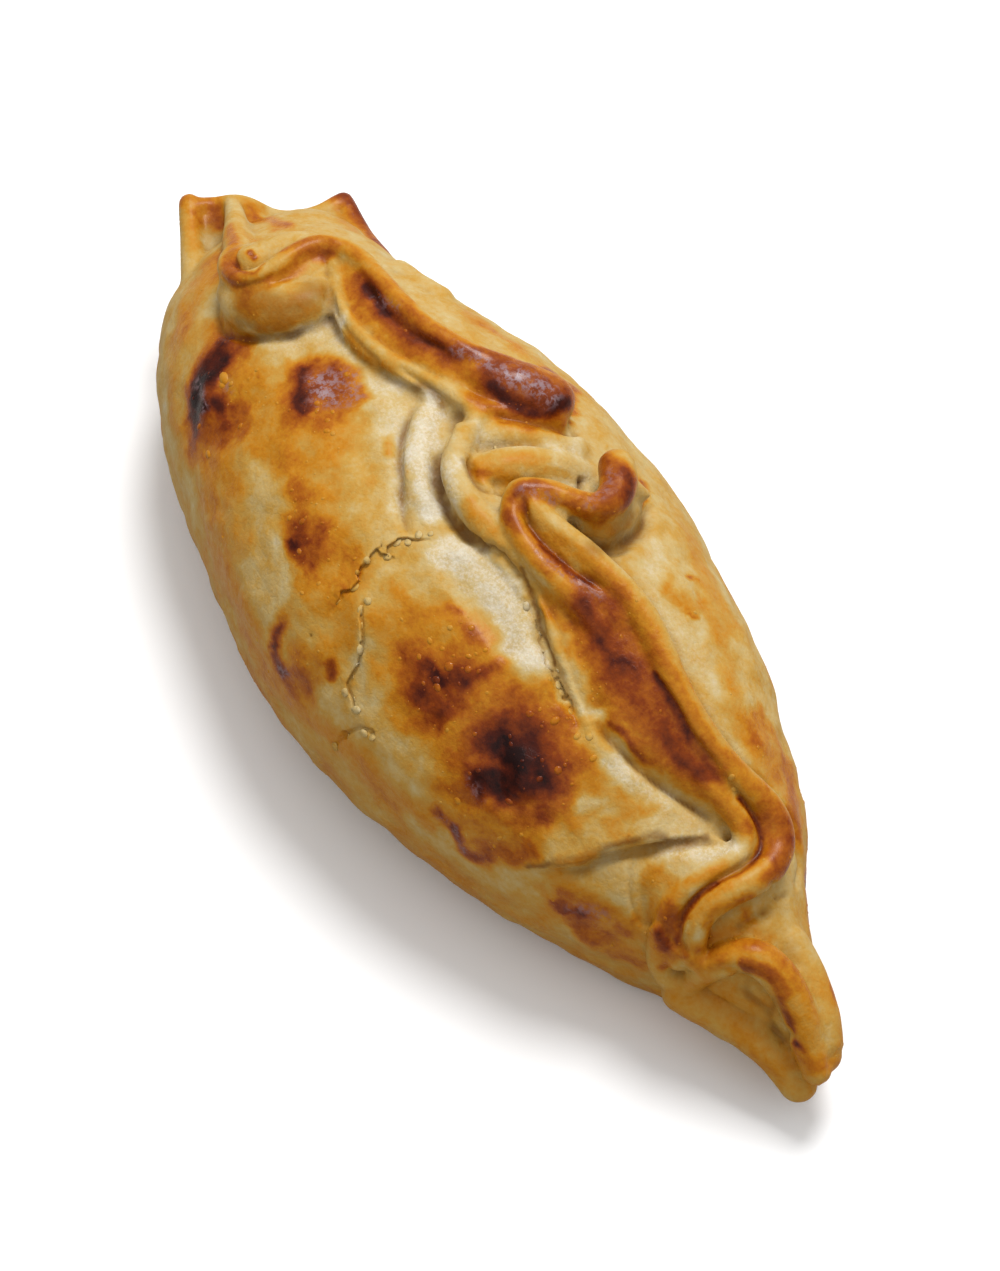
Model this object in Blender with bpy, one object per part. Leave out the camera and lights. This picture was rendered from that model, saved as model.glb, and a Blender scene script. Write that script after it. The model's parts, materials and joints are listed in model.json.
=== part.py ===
"""A baked empanada: one closed crust of folded dough, standing on a flat base, its pinched seam
lying over the top in loose S-shaped folds between a flared tail and a drawn-out tip.

X runs along the empanada from the tail (-X) to the tip (+X), Y across it and Z up. The origin is
the centre of the base. Lengths below are millimetres, and MM turns them into metres.
"""

import math

import bmesh
import bpy
import numpy as np
from mathutils import Matrix, Vector

MM = 0.001

# ---------------------------------------------------------------- driving dimensions
HALF_LENGTH = 70.0  # of the filled crust, without the tail's ears
HALF_WIDTH = 28.5
CRUST_HEIGHT = 41.0  # to the top of the filled crust, under the seam

# Ribs of the filled crust from tail to tip, as shares of the driving dimensions:
# (along, near side, far side, top, widest level, underside).
RIBS = (
    (-1.00, 0.02, 0.40, 0.48, 0.40, 0.32),
    (-0.97, -0.22, 0.50, 0.55, 0.37, 0.19),
    (-0.93, -0.38, 0.56, 0.63, 0.35, 0.10),
    (-0.81, -0.61, 0.60, 0.78, 0.37, -0.03),
    (-0.66, -0.77, 0.68, 0.88, 0.39, -0.04),
    (-0.46, -0.89, 0.84, 0.95, 0.41, -0.04),
    (-0.23, -0.99, 0.97, 1.00, 0.43, -0.04),
    (0.00, -1.00, 1.00, 1.00, 0.43, -0.04),
    (0.23, -0.89, 0.93, 0.95, 0.41, -0.04),
    (0.46, -0.67, 0.82, 0.83, 0.39, -0.04),
    (0.63, -0.44, 0.67, 0.68, 0.33, -0.03),
    (0.77, -0.19, 0.46, 0.54, 0.28, -0.02),
    (0.90, -0.02, 0.33, 0.40, 0.23, -0.01),
    (1.00, 0.08, 0.27, 0.27, 0.17, 0.05),
)
SHOULDER = 2.1  # how square the crust's upper half is, where 2 is an ellipse
BELLY = 2.8  # how square its lower half is

ROOT = 1.5  # how deep a flap is rooted in the crust
BOW_UP = 0.7  # how much of a flap's bow points up, where 1 points outwards
TAIL_OVER, TAIL_UNDER = 1.0, 2.2  # the tail's fan above and below its middle sheet
TAIL_DISH = 1.6  # how far the fan sags between its edge and the crust

# How fine everything is made.
RING_STEP = 2.0  # spacing of the crust's rings
RING_POINTS = 72
ROPE_STEPS = 6  # between two points of a rope, and round a quarter of it
BALL_LEVELS = 3
FLAP_ROWS, FLAP_STATIONS = 7, 36
TAIL_ROWS, TAIL_STATIONS = 8, 24
VOXEL = 0.9  # cell of the skin that fuses all the dough
SOFT_ROUNDS = 4  # of smoothing, each half way to flat
TRIANGLES = 9400


def between(column, x):
    """A smooth curve through one column of RIBS, at x along the empanada."""
    table = np.array(RIBS)
    at = np.clip(x / HALF_LENGTH, table[0, 0], table[-1, 0])
    knots, values = table[:, 0], table[:, column]
    slopes = np.gradient(values, knots)
    i = np.clip(np.searchsorted(knots, at) - 1, 0, len(knots) - 2)
    span = knots[i + 1] - knots[i]
    t = (at - knots[i]) / span
    return (
        values[i] * (1 + 2 * t) * (1 - t) ** 2
        + values[i + 1] * (3 - 2 * t) * t**2
        + span * t * (1 - t) * (slopes[i] * (1 - t) - slopes[i + 1] * t)
    )


def rib(x):
    """(middle, half width, top, widest level, underside) of the crust at x, in millimetres."""
    near, far = between(1, x) * HALF_WIDTH, between(2, x) * HALF_WIDTH
    top, level, under = (between(column, x) * CRUST_HEIGHT for column in (3, 4, 5))
    return (near + far) / 2, (far - near) / 2, top, level, under


def crust_top(x, y):
    """Height of the filled crust at (x, y)."""
    middle, half, top, level, _ = rib(x)
    out = min(abs(y - middle) / half, 1.0)
    return level + (top - level) * (1 - out**SHOULDER) ** (1 / SHOULDER)


def ring(x):
    """The crust's cross-section at x: an oval that is squarer below its widest level."""
    middle, half, top, level, under = rib(x)
    points = []
    for k in range(RING_POINTS):
        angle = 2 * math.pi * k / RING_POINTS
        c, s = math.cos(angle), math.sin(angle)
        power = 2 / (SHOULDER if s >= 0 else BELLY)
        reach = top - level if s >= 0 else level - under
        y = middle + half * math.copysign(abs(c) ** power, c)
        points.append((x, y, level + reach * math.copysign(abs(s) ** power, s)))
    return points


def add_mesh(name, bm):
    """A new object from bm, whose points are in millimetres."""
    bmesh.ops.recalc_face_normals(bm, faces=bm.faces)
    bmesh.ops.scale(bm, vec=(MM, MM, MM), verts=bm.verts)
    mesh = bpy.data.meshes.new(name)
    bm.to_mesh(mesh)
    bm.free()
    obj = bpy.data.objects.new(name, mesh)
    bpy.context.scene.collection.objects.link(obj)
    return obj


def filled_crust():
    """The crust round the filling: rings from tail to tip, bridged and capped."""
    bm = bmesh.new()
    count = round(2 * HALF_LENGTH / RING_STEP) + 1
    loops = []
    for x in np.linspace(-HALF_LENGTH, HALF_LENGTH, count):
        loops.append([bm.verts.new(p) for p in ring(x)])
    for one, two in zip(loops, loops[1:]):
        for k in range(RING_POINTS):
            n = (k + 1) % RING_POINTS
            bm.faces.new((one[k], one[n], two[n], two[k]))
    bm.faces.new(loops[0])
    bm.faces.new(loops[-1])
    return add_mesh("filled_crust", bm)


def rope(name, points):
    """A rope of dough through points (x, y, z, radius), as a smooth curve with a round bevel."""
    data = bpy.data.curves.new(name, "CURVE")
    data.dimensions = "3D"
    data.resolution_u = ROPE_STEPS
    data.twist_mode = "Z_UP"
    data.bevel_depth = MM
    data.bevel_resolution = ROPE_STEPS
    data.use_fill_caps = True
    spline = data.splines.new("BEZIER")
    spline.bezier_points.add(len(points) - 1)
    for point, (x, y, z, radius) in zip(spline.bezier_points, points):
        point.co = (x * MM, y * MM, z * MM)
        point.radius = radius
        point.handle_left_type = point.handle_right_type = "AUTO"
    obj = bpy.data.objects.new(name, data)
    bpy.context.scene.collection.objects.link(obj)
    bpy.ops.object.select_all(action="DESELECT")
    obj.select_set(True)
    bpy.context.view_layer.objects.active = obj
    bpy.ops.object.convert(target="MESH")
    add_round_ends(obj, points)
    return obj


def add_round_ends(obj, points):
    """Closes a rope's two ends with balls of its own radius."""
    bm = bmesh.new()
    bm.from_mesh(obj.data)
    for x, y, z, radius in (points[0], points[-1]):
        place = Matrix.Translation((x * MM, y * MM, z * MM))
        bmesh.ops.create_icosphere(bm, subdivisions=BALL_LEVELS, radius=radius * MM, matrix=place)
    bm.to_mesh(obj.data)
    bm.free()


def fold(name, points):
    """A rope that follows the crust: each point is (x, y, lift over the crust, radius)."""
    return rope(name, [(x, y, crust_top(x, y) + lift, r) for x, y, lift, r in points])


def even(points, count):
    """count points at even steps along a smooth curve through points."""
    knots = np.array(points, dtype=float)
    steps = np.linalg.norm(np.diff(knots[:, :2], axis=0), axis=1)
    along = np.concatenate(([0.0], np.cumsum(steps)))
    at = np.linspace(0, along[-1], count)
    slopes = np.gradient(knots, along, axis=0)
    i = np.clip(np.searchsorted(along, at) - 1, 0, len(along) - 2)
    span = (along[i + 1] - along[i])[:, None]
    t = ((at - along[i]) / span[:, 0])[:, None]
    return (
        knots[i] * (1 + 2 * t) * (1 - t) ** 2
        + knots[i + 1] * (3 - 2 * t) * t**2
        + span * t * (1 - t) * (slopes[i] * (1 - t) - slopes[i + 1] * t)
    )


def lifted(line):
    """Points (x, y, lift over the crust, ...) evenly along a line, as places (x, y, z)."""
    return [np.array((x, y, crust_top(x, y) + lift)) for x, y, lift, *_ in even(line, FLAP_STATIONS)]


def flap(name, rim, foot, bulge=0.0):
    """A wedge of dough between a rim and a foot line, both of (x, y, lift over the crust, ...).

    The face between them is bowed outwards by bulge. Under the rim and under the foot the wedge
    drops straight down into the crust.
    """
    bm = bmesh.new()
    sections = []
    for high, low in zip(lifted([point[:3] for point in rim]), lifted([point[:3] for point in foot])):
        roots = [np.array((x, y, crust_top(x, y) - ROOT)) for x, y, _ in (low, high)]
        out = np.array((*(low - high)[:2], 0.0))
        out = out / max(np.linalg.norm(out), 0.1) + np.array((0, 0, BOW_UP))
        steps = np.linspace(0, 1, FLAP_ROWS)
        face = [low + (high - low) * t + out * bulge * 4 * t * (1 - t) for t in steps]
        sections.append([bm.verts.new(p) for p in (roots[0], *face, roots[1])])
    for one, two in zip(sections, sections[1:]):
        for k in range(len(one)):
            n = (k + 1) % len(one)
            bm.faces.new((one[k], one[n], two[n], two[k]))
    bm.faces.new(sections[0])
    bm.faces.new(sections[-1])
    return add_mesh(name, bm)


def first_fold():
    """The fold at the tail: a curl with its knob and pouch, and a rim, face and lip to a fat end."""
    curl = ((-54.6, -5.0, 4.2, 0.9), (-53.8, -6.6, 4.2, 1.1), (-51.9, -7.8, 4.2, 1.3), (-49.3, -8.1, 4.3, 1.45),
            (-47.3, -7.3, 4.4, 1.5), (-46.3, -5.6, 4.5, 1.5), (-46.3, -3.5, 4.6, 1.5), (-46.8, -1.2, 4.7, 1.5),
            (-47.0, 1.2, 4.8, 1.5), (-46.6, 3.4, 4.9, 1.5), (-44.9, 5.0, 4.9, 1.5))
    knob = ((-50.8, -5.3, 4.0, 2.0), (-50.0, -4.9, 4.0, 2.0))
    core = ((-51.4, -5.6, 1.8, 3.4), (-50.0, -3.0, 2.2, 3.2), (-49.2, 0.8, 2.4, 3.0), (-46.0, 4.6, 2.6, 2.6))
    pouch = ((-49.2, -7.8, 0.8, 2.8), (-46.2, -7.8, 0.5, 3.6), (-43.4, -6.5, 0.3, 4.0), (-41.4, -4.5, 0.3, 4.0),
             (-40.6, -2.0, 0.4, 3.6), (-41.2, 0.4, 0.6, 2.8))
    rim = ((-44.9, 5.4, 4.9, 1.5), (-41.5, 6.3, 4.7, 1.4), (-35.5, 6.4, 4.5, 1.35), (-31.5, 6.5, 4.4, 1.35),
           (-26.8, 7.1, 4.3, 1.4), (-22.6, 8.3, 4.1, 1.5), (-19.3, 9.9, 3.7, 1.8), (-16.2, 12.2, 3.2, 2.2),
           (-13.2, 14.8, 2.6, 2.5))
    lip = ((-44.0, 4.2, 3.2, 1.1), (-40.2, 2.1, 1.9, 1.4), (-36.6, 0.8, 1.4, 1.5), (-32.6, 0.3, 1.1, 1.6),
           (-28.7, 0.7, 0.9, 1.6), (-24.2, 1.8, 0.8, 1.7), (-20.0, 3.3, 0.8, 1.7), (-16.9, 4.7, 0.8, 1.8),
           (-14.0, 5.9, 0.7, 1.9), (-11.6, 8.2, 0.5, 2.0), (-9.4, 11.4, 0.3, 2.2), (-8.2, 14.0, 0.2, 2.2))
    back = ((-40.3, 11.2, -1.2), (-32.4, 11.0, -1.2), (-27.3, 12.3, -1.2), (-22.0, 15.6, -1.2),
            (-16.0, 20.6, -1.4))
    end = ((-19.4, 8.4, 2.0, 2.2), (-16.4, 10.2, 2.1, 3.1), (-13.6, 12.8, 2.1, 3.7), (-11.2, 15.2, 1.9, 3.6))
    return [fold("curl", curl), fold("knob", knob), fold("curl_core", core), fold("pouch", pouch),
            fold("first_rim", rim), fold("lip", lip), fold("fat_end", end),
            flap("curl_face", curl[3:], pouch, bulge=0.3), flap("first_face", rim, lip, bulge=0.8),
            flap("first_back", rim[1:7], back, bulge=0.3)]


def second_fold():
    """The fold that turns back under the first one, with a finger of dough and a crescent beside it."""
    rim = ((-13.4, 7.4, 0.2, 1.9), (-11.7, 4.5, 0.7, 1.9), (-9.6, 1.8, 0.9, 1.9), (-7.3, -0.3, 1.0, 1.9),
           (-4.5, -1.5, 1.4, 1.8), (-1.4, -1.8, 1.2, 2.0), (2.0, -1.4, 0.9, 2.1), (6.0, -0.8, 0.6, 2.1),
           (10.5, -0.2, 0.0, 2.2), (15.0, -0.4, -0.6, 2.2), (19.6, -1.4, -1.2, 2.2), (26.0, -2.4, -2.0, 2.2))
    finger = ((-5.6, 2.4, -0.6, 2.3), (-4.8, 4.8, -0.6, 2.9), (-3.8, 7.6, -0.9, 3.2), (-2.6, 10.6, -1.3, 3.2),
              (-0.8, 13.4, -2.4, 2.8))
    neck = ((-10.4, 5.6, -0.6, 2.2), (-9.0, 8.0, -0.6, 2.6), (-7.2, 11.0, -0.9, 2.8), (-5.0, 14.4, -1.6, 2.8))
    saddle = ((-3.6, 0.2, -0.8, 2.2), (-0.2, 0.4, -0.6, 2.5), (3.4, -0.2, -0.8, 2.6), (7.2, -0.2, -1.0, 2.4))
    crescent = ((-19.0, 4.2, -2.0, 2.2), (-16.2, 0.8, -1.6, 2.5), (-13.0, -1.8, -1.6, 2.6),
                (-9.6, -4.2, -1.7, 2.6), (-6.0, -5.8, -2.0, 2.6), (-2.4, -7.0, -2.6, 2.4))
    return [fold("second_rim", rim), fold("finger", finger), fold("neck", neck), fold("saddle", saddle),
            fold("crescent", crescent)]


def third_fold():
    """The long fold: a standing arm with a knob, then two rolled layers and a broad face to the tip."""
    arm = ((2.6, 16.8, 4.6, 2.4), (4.9, 15.6, 4.6, 2.5), (6.9, 13.2, 4.3, 2.2), (7.1, 10.8, 4.2, 1.8),
           (5.4, 8.5, 4.2, 1.7), (3.1, 6.3, 4.2, 1.7), (1.8, 3.9, 4.0, 1.8))
    arm_tab = ((5.0, 17.4, 3.2, 1.4), (5.9, 18.7, 3.0, 0.9))
    arm_foot = ((4.5, 19.6, -0.8), (7.2, 17.4, -0.8), (9.2, 14.2, -0.8), (9.8, 10.8, -0.6), (8.4, 8.4, -0.2),
                (5.8, 6.9, 0.4), (3.6, 5.6, 1.6))
    right_roll = ((1.8, 4.4, 3.8, 1.8), (3.4, 3.9, 3.7, 1.7), (5.6, 4.2, 3.7, 1.6), (8.4, 5.0, 3.7, 1.6),
                  (11.6, 6.1, 3.7, 1.7), (14.6, 7.0, 3.7, 1.7), (18.0, 7.9, 3.6, 1.8), (21.6, 8.4, 3.5, 1.8),
                  (25.4, 8.2, 3.4, 1.8), (30.0, 7.6, 3.3, 1.8), (34.4, 7.5, 3.2, 1.8), (38.2, 8.0, 3.2, 1.8),
                  (41.6, 9.0, 3.2, 1.9), (44.4, 10.4, 3.2, 1.9))
    left_roll = ((1.4, 3.6, 3.6, 1.7), (2.2, 2.2, 3.3, 1.5), (4.0, 1.1, 3.1, 1.5), (6.5, 0.7, 3.0, 1.5),
                 (9.8, 0.9, 2.8, 1.6), (13.4, 1.7, 2.4, 1.7), (17.0, 3.0, 1.6, 1.9), (21.0, 3.8, 0.6, 2.0))
    between_rolls = ((3.4, 2.9, 2.4, 1.8), (8.0, 2.9, 2.2, 1.9), (14.0, 4.5, 1.9, 2.0),
                     (20.0, 6.0, 1.2, 2.4))
    face_rim = ((9.0, 5.2, 2.8), (14.6, 7.0, 3.2), (21.6, 8.3, 3.1), (30.0, 7.5, 2.9), (38.2, 7.9, 2.9),
                (45.0, 10.4, 2.8))
    face_foot = ((8.0, -0.6, -0.8), (13.0, 0.2, -0.8), (17.4, 0.6, -0.9), (21.2, -0.3, -1.0),
                 (25.0, -1.1, -1.1), (28.6, -1.2, -1.1), (32.4, -0.4, -1.1), (36.4, 1.2, -1.0),
                 (40.4, 3.6, -0.9), (44.0, 5.6, -0.8))
    bend = ((3.4, 5.2, 3.2, 1.6), (6.2, 5.9, 2.4, 1.6))
    return [fold("arm", arm), fold("arm_tab", arm_tab), fold("right_roll", right_roll),
            fold("left_roll", left_roll), fold("between_rolls", between_rolls), fold("bend", bend),
            flap("arm_wall", arm, arm_foot, bulge=0.9), flap("third_face", face_rim, face_foot, bulge=1.8)]


def last_folds():
    """The loop before the tip, the roll that runs out along it, and the tip's two lobes."""
    outer = ((43.6, 10.0, 3.2, 1.9), (46.6, 11.2, 3.2, 2.0), (49.6, 10.5, 3.2, 2.1), (51.7, 8.0, 3.2, 2.1),
             (52.5, 4.6, 3.2, 1.9), (52.5, 1.5, 3.2, 1.7), (52.3, -1.1, 3.1, 1.5), (52.8, -3.0, 2.9, 1.4),
             (53.8, -4.0, 2.5, 1.3), (55.2, -3.8, 2.0, 1.1))
    inner = ((36.0, 5.2, 0.6, 1.8), (40.0, 5.8, 1.2, 1.7), (43.6, 6.7, 1.8, 1.6), (46.6, 7.1, 2.1, 1.5),
             (48.7, 5.9, 2.2, 1.4), (49.4, 3.2, 2.2, 1.4), (49.2, 0.3, 2.2, 1.5), (49.1, -1.9, 2.2, 1.5),
             (49.6, -4.1, 2.1, 1.5), (50.6, -5.6, 1.9, 1.5), (52.4, -6.4, 1.4, 1.4))
    core = ((44.0, 9.0, 0.9, 2.2), (48.6, 8.4, 1.2, 2.0), (51.0, 4.0, 1.2, 1.8), (51.0, -0.6, 1.0, 1.8))
    loop_foot = ((46.6, 4.6, -0.8), (44.6, 1.0, -0.9), (43.4, -3.0, -1.0), (44.0, -6.4, -1.2),
                 (46.6, -8.2, -1.4), (50.4, -8.0, -1.4), (54.6, -6.2, -1.2))
    roll = ((54.4, -4.2, 1.9, 1.4), (55.6, -2.4, 2.2, 1.8), (57.0, 0.2, 2.4, 2.1), (58.8, 2.3, 2.5, 2.2),
            (61.4, 3.7, 2.5, 2.2), (64.2, 4.3, 2.3, 2.1), (67.0, 4.2, 2.0, 2.0), (69.6, 3.6, 1.4, 2.0),
            (71.4, 3.2, 0.0, 2.0))
    side_lobe = ((54.4, -5.2, -1.2, 2.8), (60.0, -1.8, -1.0, 3.0), (65.4, 0.6, -0.8, 2.8),
                 (70.0, 1.8, -1.8, 2.4))
    far_lobe = ((58.0, 7.0, -2.6, 2.8), (62.0, 6.8, -1.8, 3.0), (66.4, 6.0, -1.2, 3.0), (70.0, 4.8, -1.6, 2.6))
    return [fold("outer_loop", outer), fold("inner_loop", inner), fold("loop_core", core),
            flap("loop_face", inner[4:], loop_foot, bulge=1.8), fold("last_roll", roll),
            fold("side_lobe", side_lobe), fold("far_lobe", far_lobe)]


def tail():
    """The pinched tail: a thin wavy fan with an ear at each side and a pinched rib down its middle."""
    edge = ((-73.6, -2.0, 22.4, 1.5), (-72.6, 0.8, 22.2, 1.3), (-70.8, 3.4, 22.8, 1.4), (-68.2, 8.0, 19.8, 1.1),
            (-67.0, 12.6, 18.6, 1.2), (-67.2, 17.4, 18.0, 1.5))
    root = ((-58.0, -9.0, 22.0), (-57.0, -4.0, 26.0), (-56.0, 1.0, 29.0), (-56.0, 6.0, 28.0),
            (-55.0, 11.0, 25.0), (-54.0, 15.0, 21.0))
    bm = bmesh.new()
    edge_line, root_line = even(edge, TAIL_STATIONS)[:, :3], even(root, TAIL_STATIONS)
    sheet = []
    for t in np.linspace(0, 1, TAIL_ROWS):
        line = edge_line + (root_line - edge_line) * t
        line[:, 2] -= TAIL_DISH * 4 * t * (1 - t)
        sheet.append(line)
    upper, lower = (
        [[bm.verts.new((x, y, z + offset)) for x, y, z in line] for line in sheet]
        for offset in (TAIL_OVER, -TAIL_UNDER)
    )
    for layer in (upper, lower):
        for one, two in zip(layer, layer[1:]):
            for k in range(TAIL_STATIONS - 1):
                bm.faces.new((one[k], one[k + 1], two[k + 1], two[k]))
    for row in (0, -1):
        for k in range(TAIL_STATIONS - 1):
            bm.faces.new((upper[row][k], upper[row][k + 1], lower[row][k + 1], lower[row][k]))
    for k in (0, -1):
        for row in range(TAIL_ROWS - 1):
            bm.faces.new((upper[row][k], upper[row + 1][k], lower[row + 1][k], lower[row][k]))
    pinch = ((-71.2, 2.6, 23.2, 1.1), (-67.0, 1.0, 25.4, 1.5), (-61.0, -1.8, 29.0, 2.0),
             (-54.5, -4.6, 33.2, 2.4))
    near_ear = ((-74.4, -2.2, 22.6, 1.5), (-69.6, -4.6, 22.2, 1.5), (-62.0, -8.0, 22.6, 2.0))
    far_ear = ((-67.2, 17.4, 18.0, 1.5), (-61.0, 16.6, 18.0, 1.6), (-54.0, 15.6, 20.2, 2.0))
    return [add_mesh("fan", bm), rope("hem", edge), rope("pinch", pinch), rope("near_ear", near_ear),
            rope("far_ear", far_ear)]


def joined(pieces):
    """All the pieces as one object."""
    bpy.ops.object.select_all(action="DESELECT")
    for piece in pieces:
        piece.select_set(True)
    bpy.context.view_layer.objects.active = pieces[0]
    bpy.ops.object.join()
    return bpy.context.view_layer.objects.active


def kneaded(obj):
    """Fuses the pieces into one skin, keeps its outer shell, softens it and cuts the flat base."""
    fuse = obj.modifiers.new("fuse", "REMESH")
    fuse.mode = "VOXEL"
    fuse.voxel_size = VOXEL * MM
    soften = obj.modifiers.new("soften", "SMOOTH")
    soften.factor = 0.5
    soften.iterations = SOFT_ROUNDS
    for name in ("fuse", "soften"):
        bpy.ops.object.modifier_apply(modifier=name)
    bm = bmesh.new()
    bm.from_mesh(obj.data)
    keep = outer_shell(bm)
    bmesh.ops.delete(bm, geom=[v for v in bm.verts if v not in keep], context="VERTS")
    whole = bm.verts[:] + bm.edges[:] + bm.faces[:]
    bmesh.ops.bisect_plane(bm, geom=whole, plane_co=(0, 0, 0), plane_no=(0, 0, 1), clear_inner=True)
    rim = [e for e in bm.edges if e.is_boundary]
    bmesh.ops.contextual_create(bm, geom=rim)
    bmesh.ops.translate(bm, vec=-base_centre(bm), verts=bm.verts)
    bm.to_mesh(obj.data)
    bm.free()


def base_centre(bm):
    """The middle of the crust's box, seen from above."""
    xs, ys = [v.co.x for v in bm.verts], [v.co.y for v in bm.verts]
    return Vector(((min(xs) + max(xs)) / 2, (min(ys) + max(ys)) / 2, 0))


def outer_shell(bm):
    """The largest set of joined vertices, which leaves out any sealed hollow."""
    left, best = set(bm.verts), set()
    while left:
        found, todo = set(), [left.pop()]
        while todo:
            vert = todo.pop()
            found.add(vert)
            for edge in vert.link_edges:
                other = edge.other_vert(vert)
                if other in left:
                    left.remove(other)
                    todo.append(other)
        best = max(best, found, key=len)
    return best


def baked_dough():
    """The crust's colour: golden, and slightly glossy from the egg wash."""
    material = bpy.data.materials.new("baked_dough")
    material.use_nodes = True
    shader = material.node_tree.nodes["Principled BSDF"]
    shader.inputs["Base Color"].default_value = (0.62, 0.36, 0.13, 1)
    shader.inputs["Roughness"].default_value = 0.42
    shader.inputs["Metallic"].default_value = 0.0
    return material


def main():
    for obj in list(bpy.data.objects):
        bpy.data.objects.remove(obj)
    pieces = [filled_crust(), *first_fold(), *second_fold(), *third_fold(), *last_folds(), *tail()]
    crust = joined(pieces)
    crust.name = "crust"
    kneaded(crust)
    thin = crust.modifiers.new("thin", "DECIMATE")
    thin.ratio = TRIANGLES / sum(len(p.vertices) - 2 for p in crust.data.polygons)
    thin.use_collapse_triangulate = True
    crust.data.materials.clear()
    crust.data.materials.append(baked_dough())
    crust.data.shade_smooth()


main()
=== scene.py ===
# %% [markdown]
# # A baked empanada
#
# This lesson builds one empanada straight from the oven: a boat-shaped pocket of dough, sealed along
# the top, whose sealed edge has gathered into loose S-shaped folds. The shape comes first, then the
# creases and cracks, then the browning, and last the blisters that make baked dough look baked.
#
# The measured part is loaded as a fixed frame. Nothing in it is moved: the detailed crust made here
# takes its place and rides on the same body.

# %% Load the frame
import json
import math

import bpy
import numpy as np
from mathutils import Matrix, Vector, noise
from mathutils.bvhtree import BVHTree

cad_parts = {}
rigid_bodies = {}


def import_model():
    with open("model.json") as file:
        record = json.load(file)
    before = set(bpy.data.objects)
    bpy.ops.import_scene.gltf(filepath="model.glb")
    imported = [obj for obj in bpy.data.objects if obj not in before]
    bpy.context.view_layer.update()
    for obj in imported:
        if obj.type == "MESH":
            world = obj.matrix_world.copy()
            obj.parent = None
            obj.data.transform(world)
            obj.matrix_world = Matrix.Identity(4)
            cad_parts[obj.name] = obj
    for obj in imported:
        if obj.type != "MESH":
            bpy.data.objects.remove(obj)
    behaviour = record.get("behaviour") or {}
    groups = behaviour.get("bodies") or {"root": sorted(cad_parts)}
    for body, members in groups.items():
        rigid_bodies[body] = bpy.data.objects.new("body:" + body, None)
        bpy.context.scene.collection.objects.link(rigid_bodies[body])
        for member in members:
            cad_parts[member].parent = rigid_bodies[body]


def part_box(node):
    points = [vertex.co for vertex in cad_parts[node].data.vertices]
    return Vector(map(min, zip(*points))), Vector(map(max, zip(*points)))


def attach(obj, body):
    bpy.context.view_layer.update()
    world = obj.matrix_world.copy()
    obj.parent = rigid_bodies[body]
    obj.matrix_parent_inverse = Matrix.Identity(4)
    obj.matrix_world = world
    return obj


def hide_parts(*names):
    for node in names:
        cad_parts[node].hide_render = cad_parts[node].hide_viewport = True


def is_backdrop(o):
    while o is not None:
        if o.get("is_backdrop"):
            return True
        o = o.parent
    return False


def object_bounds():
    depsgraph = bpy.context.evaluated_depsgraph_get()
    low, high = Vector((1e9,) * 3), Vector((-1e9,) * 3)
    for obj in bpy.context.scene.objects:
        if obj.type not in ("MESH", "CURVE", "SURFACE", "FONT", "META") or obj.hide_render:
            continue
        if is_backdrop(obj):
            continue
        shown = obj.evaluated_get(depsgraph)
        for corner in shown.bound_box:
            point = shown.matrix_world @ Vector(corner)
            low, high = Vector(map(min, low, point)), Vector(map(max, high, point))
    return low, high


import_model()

cad_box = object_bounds()
low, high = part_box("crust")
print("frame:", [round(side * 1000, 1) for side in high - low], "mm")

# %% [markdown]
# ## Working in millimetres
#
# Blender's unit here is the metre, but a cook thinks of folds and blisters in millimetres. So every
# size below is in millimetres, and two small helpers read and write a mesh's points in them.
# The three driving sizes are taken from the frame. The filled part of the crust is a little shorter
# and lower than the whole, because the tail's ears and the standing seam reach past it.

# %% Driving sizes and mesh helpers
MM = 0.001
HALF_LENGTH = 0.4673 * (high.x - low.x) / MM
HALF_WIDTH = 0.4977 * (high.y - low.y) / MM
CRUST_HEIGHT = 0.8855 * high.z / MM
VOXEL = 0.38


def only(obj):
    """Selects obj alone and makes it active, which most operators need."""
    bpy.ops.object.select_all(action="DESELECT")
    obj.select_set(True)
    bpy.context.view_layer.objects.active = obj


def points_of(obj):
    """A mesh's points in millimetres, one row each."""
    flat = np.empty(len(obj.data.vertices) * 3)
    obj.data.vertices.foreach_get("co", flat)
    return flat.reshape(-1, 3) / MM


def set_points(obj, points):
    """Puts a mesh's points at these millimetre places."""
    obj.data.vertices.foreach_set("co", (points * MM).ravel())
    obj.data.update()


def normals_of(obj):
    """The outward direction at each of a mesh's points."""
    flat = np.empty(len(obj.data.vertices) * 3, dtype=np.float32)
    obj.data.vertex_normals.foreach_get("vector", flat)
    return flat.reshape(-1, 3).astype(float)


print("filled crust:", round(2 * HALF_LENGTH, 1), "x", round(2 * HALF_WIDTH, 1), "x", round(CRUST_HEIGHT, 1), "mm")

# %% [markdown]
# ## The filled crust's ribs
#
# The pocket is described the way a boat is: by ribs along its keel. Each rib says how far the crust
# reaches to the near side and the far side, how high it is, at which level it is widest, and how high
# its underside lies. All are shares of the driving sizes, so the whole boat scales with the frame.
# Between two ribs the values follow a smooth curve, so no rib shows as a kink.

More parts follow.
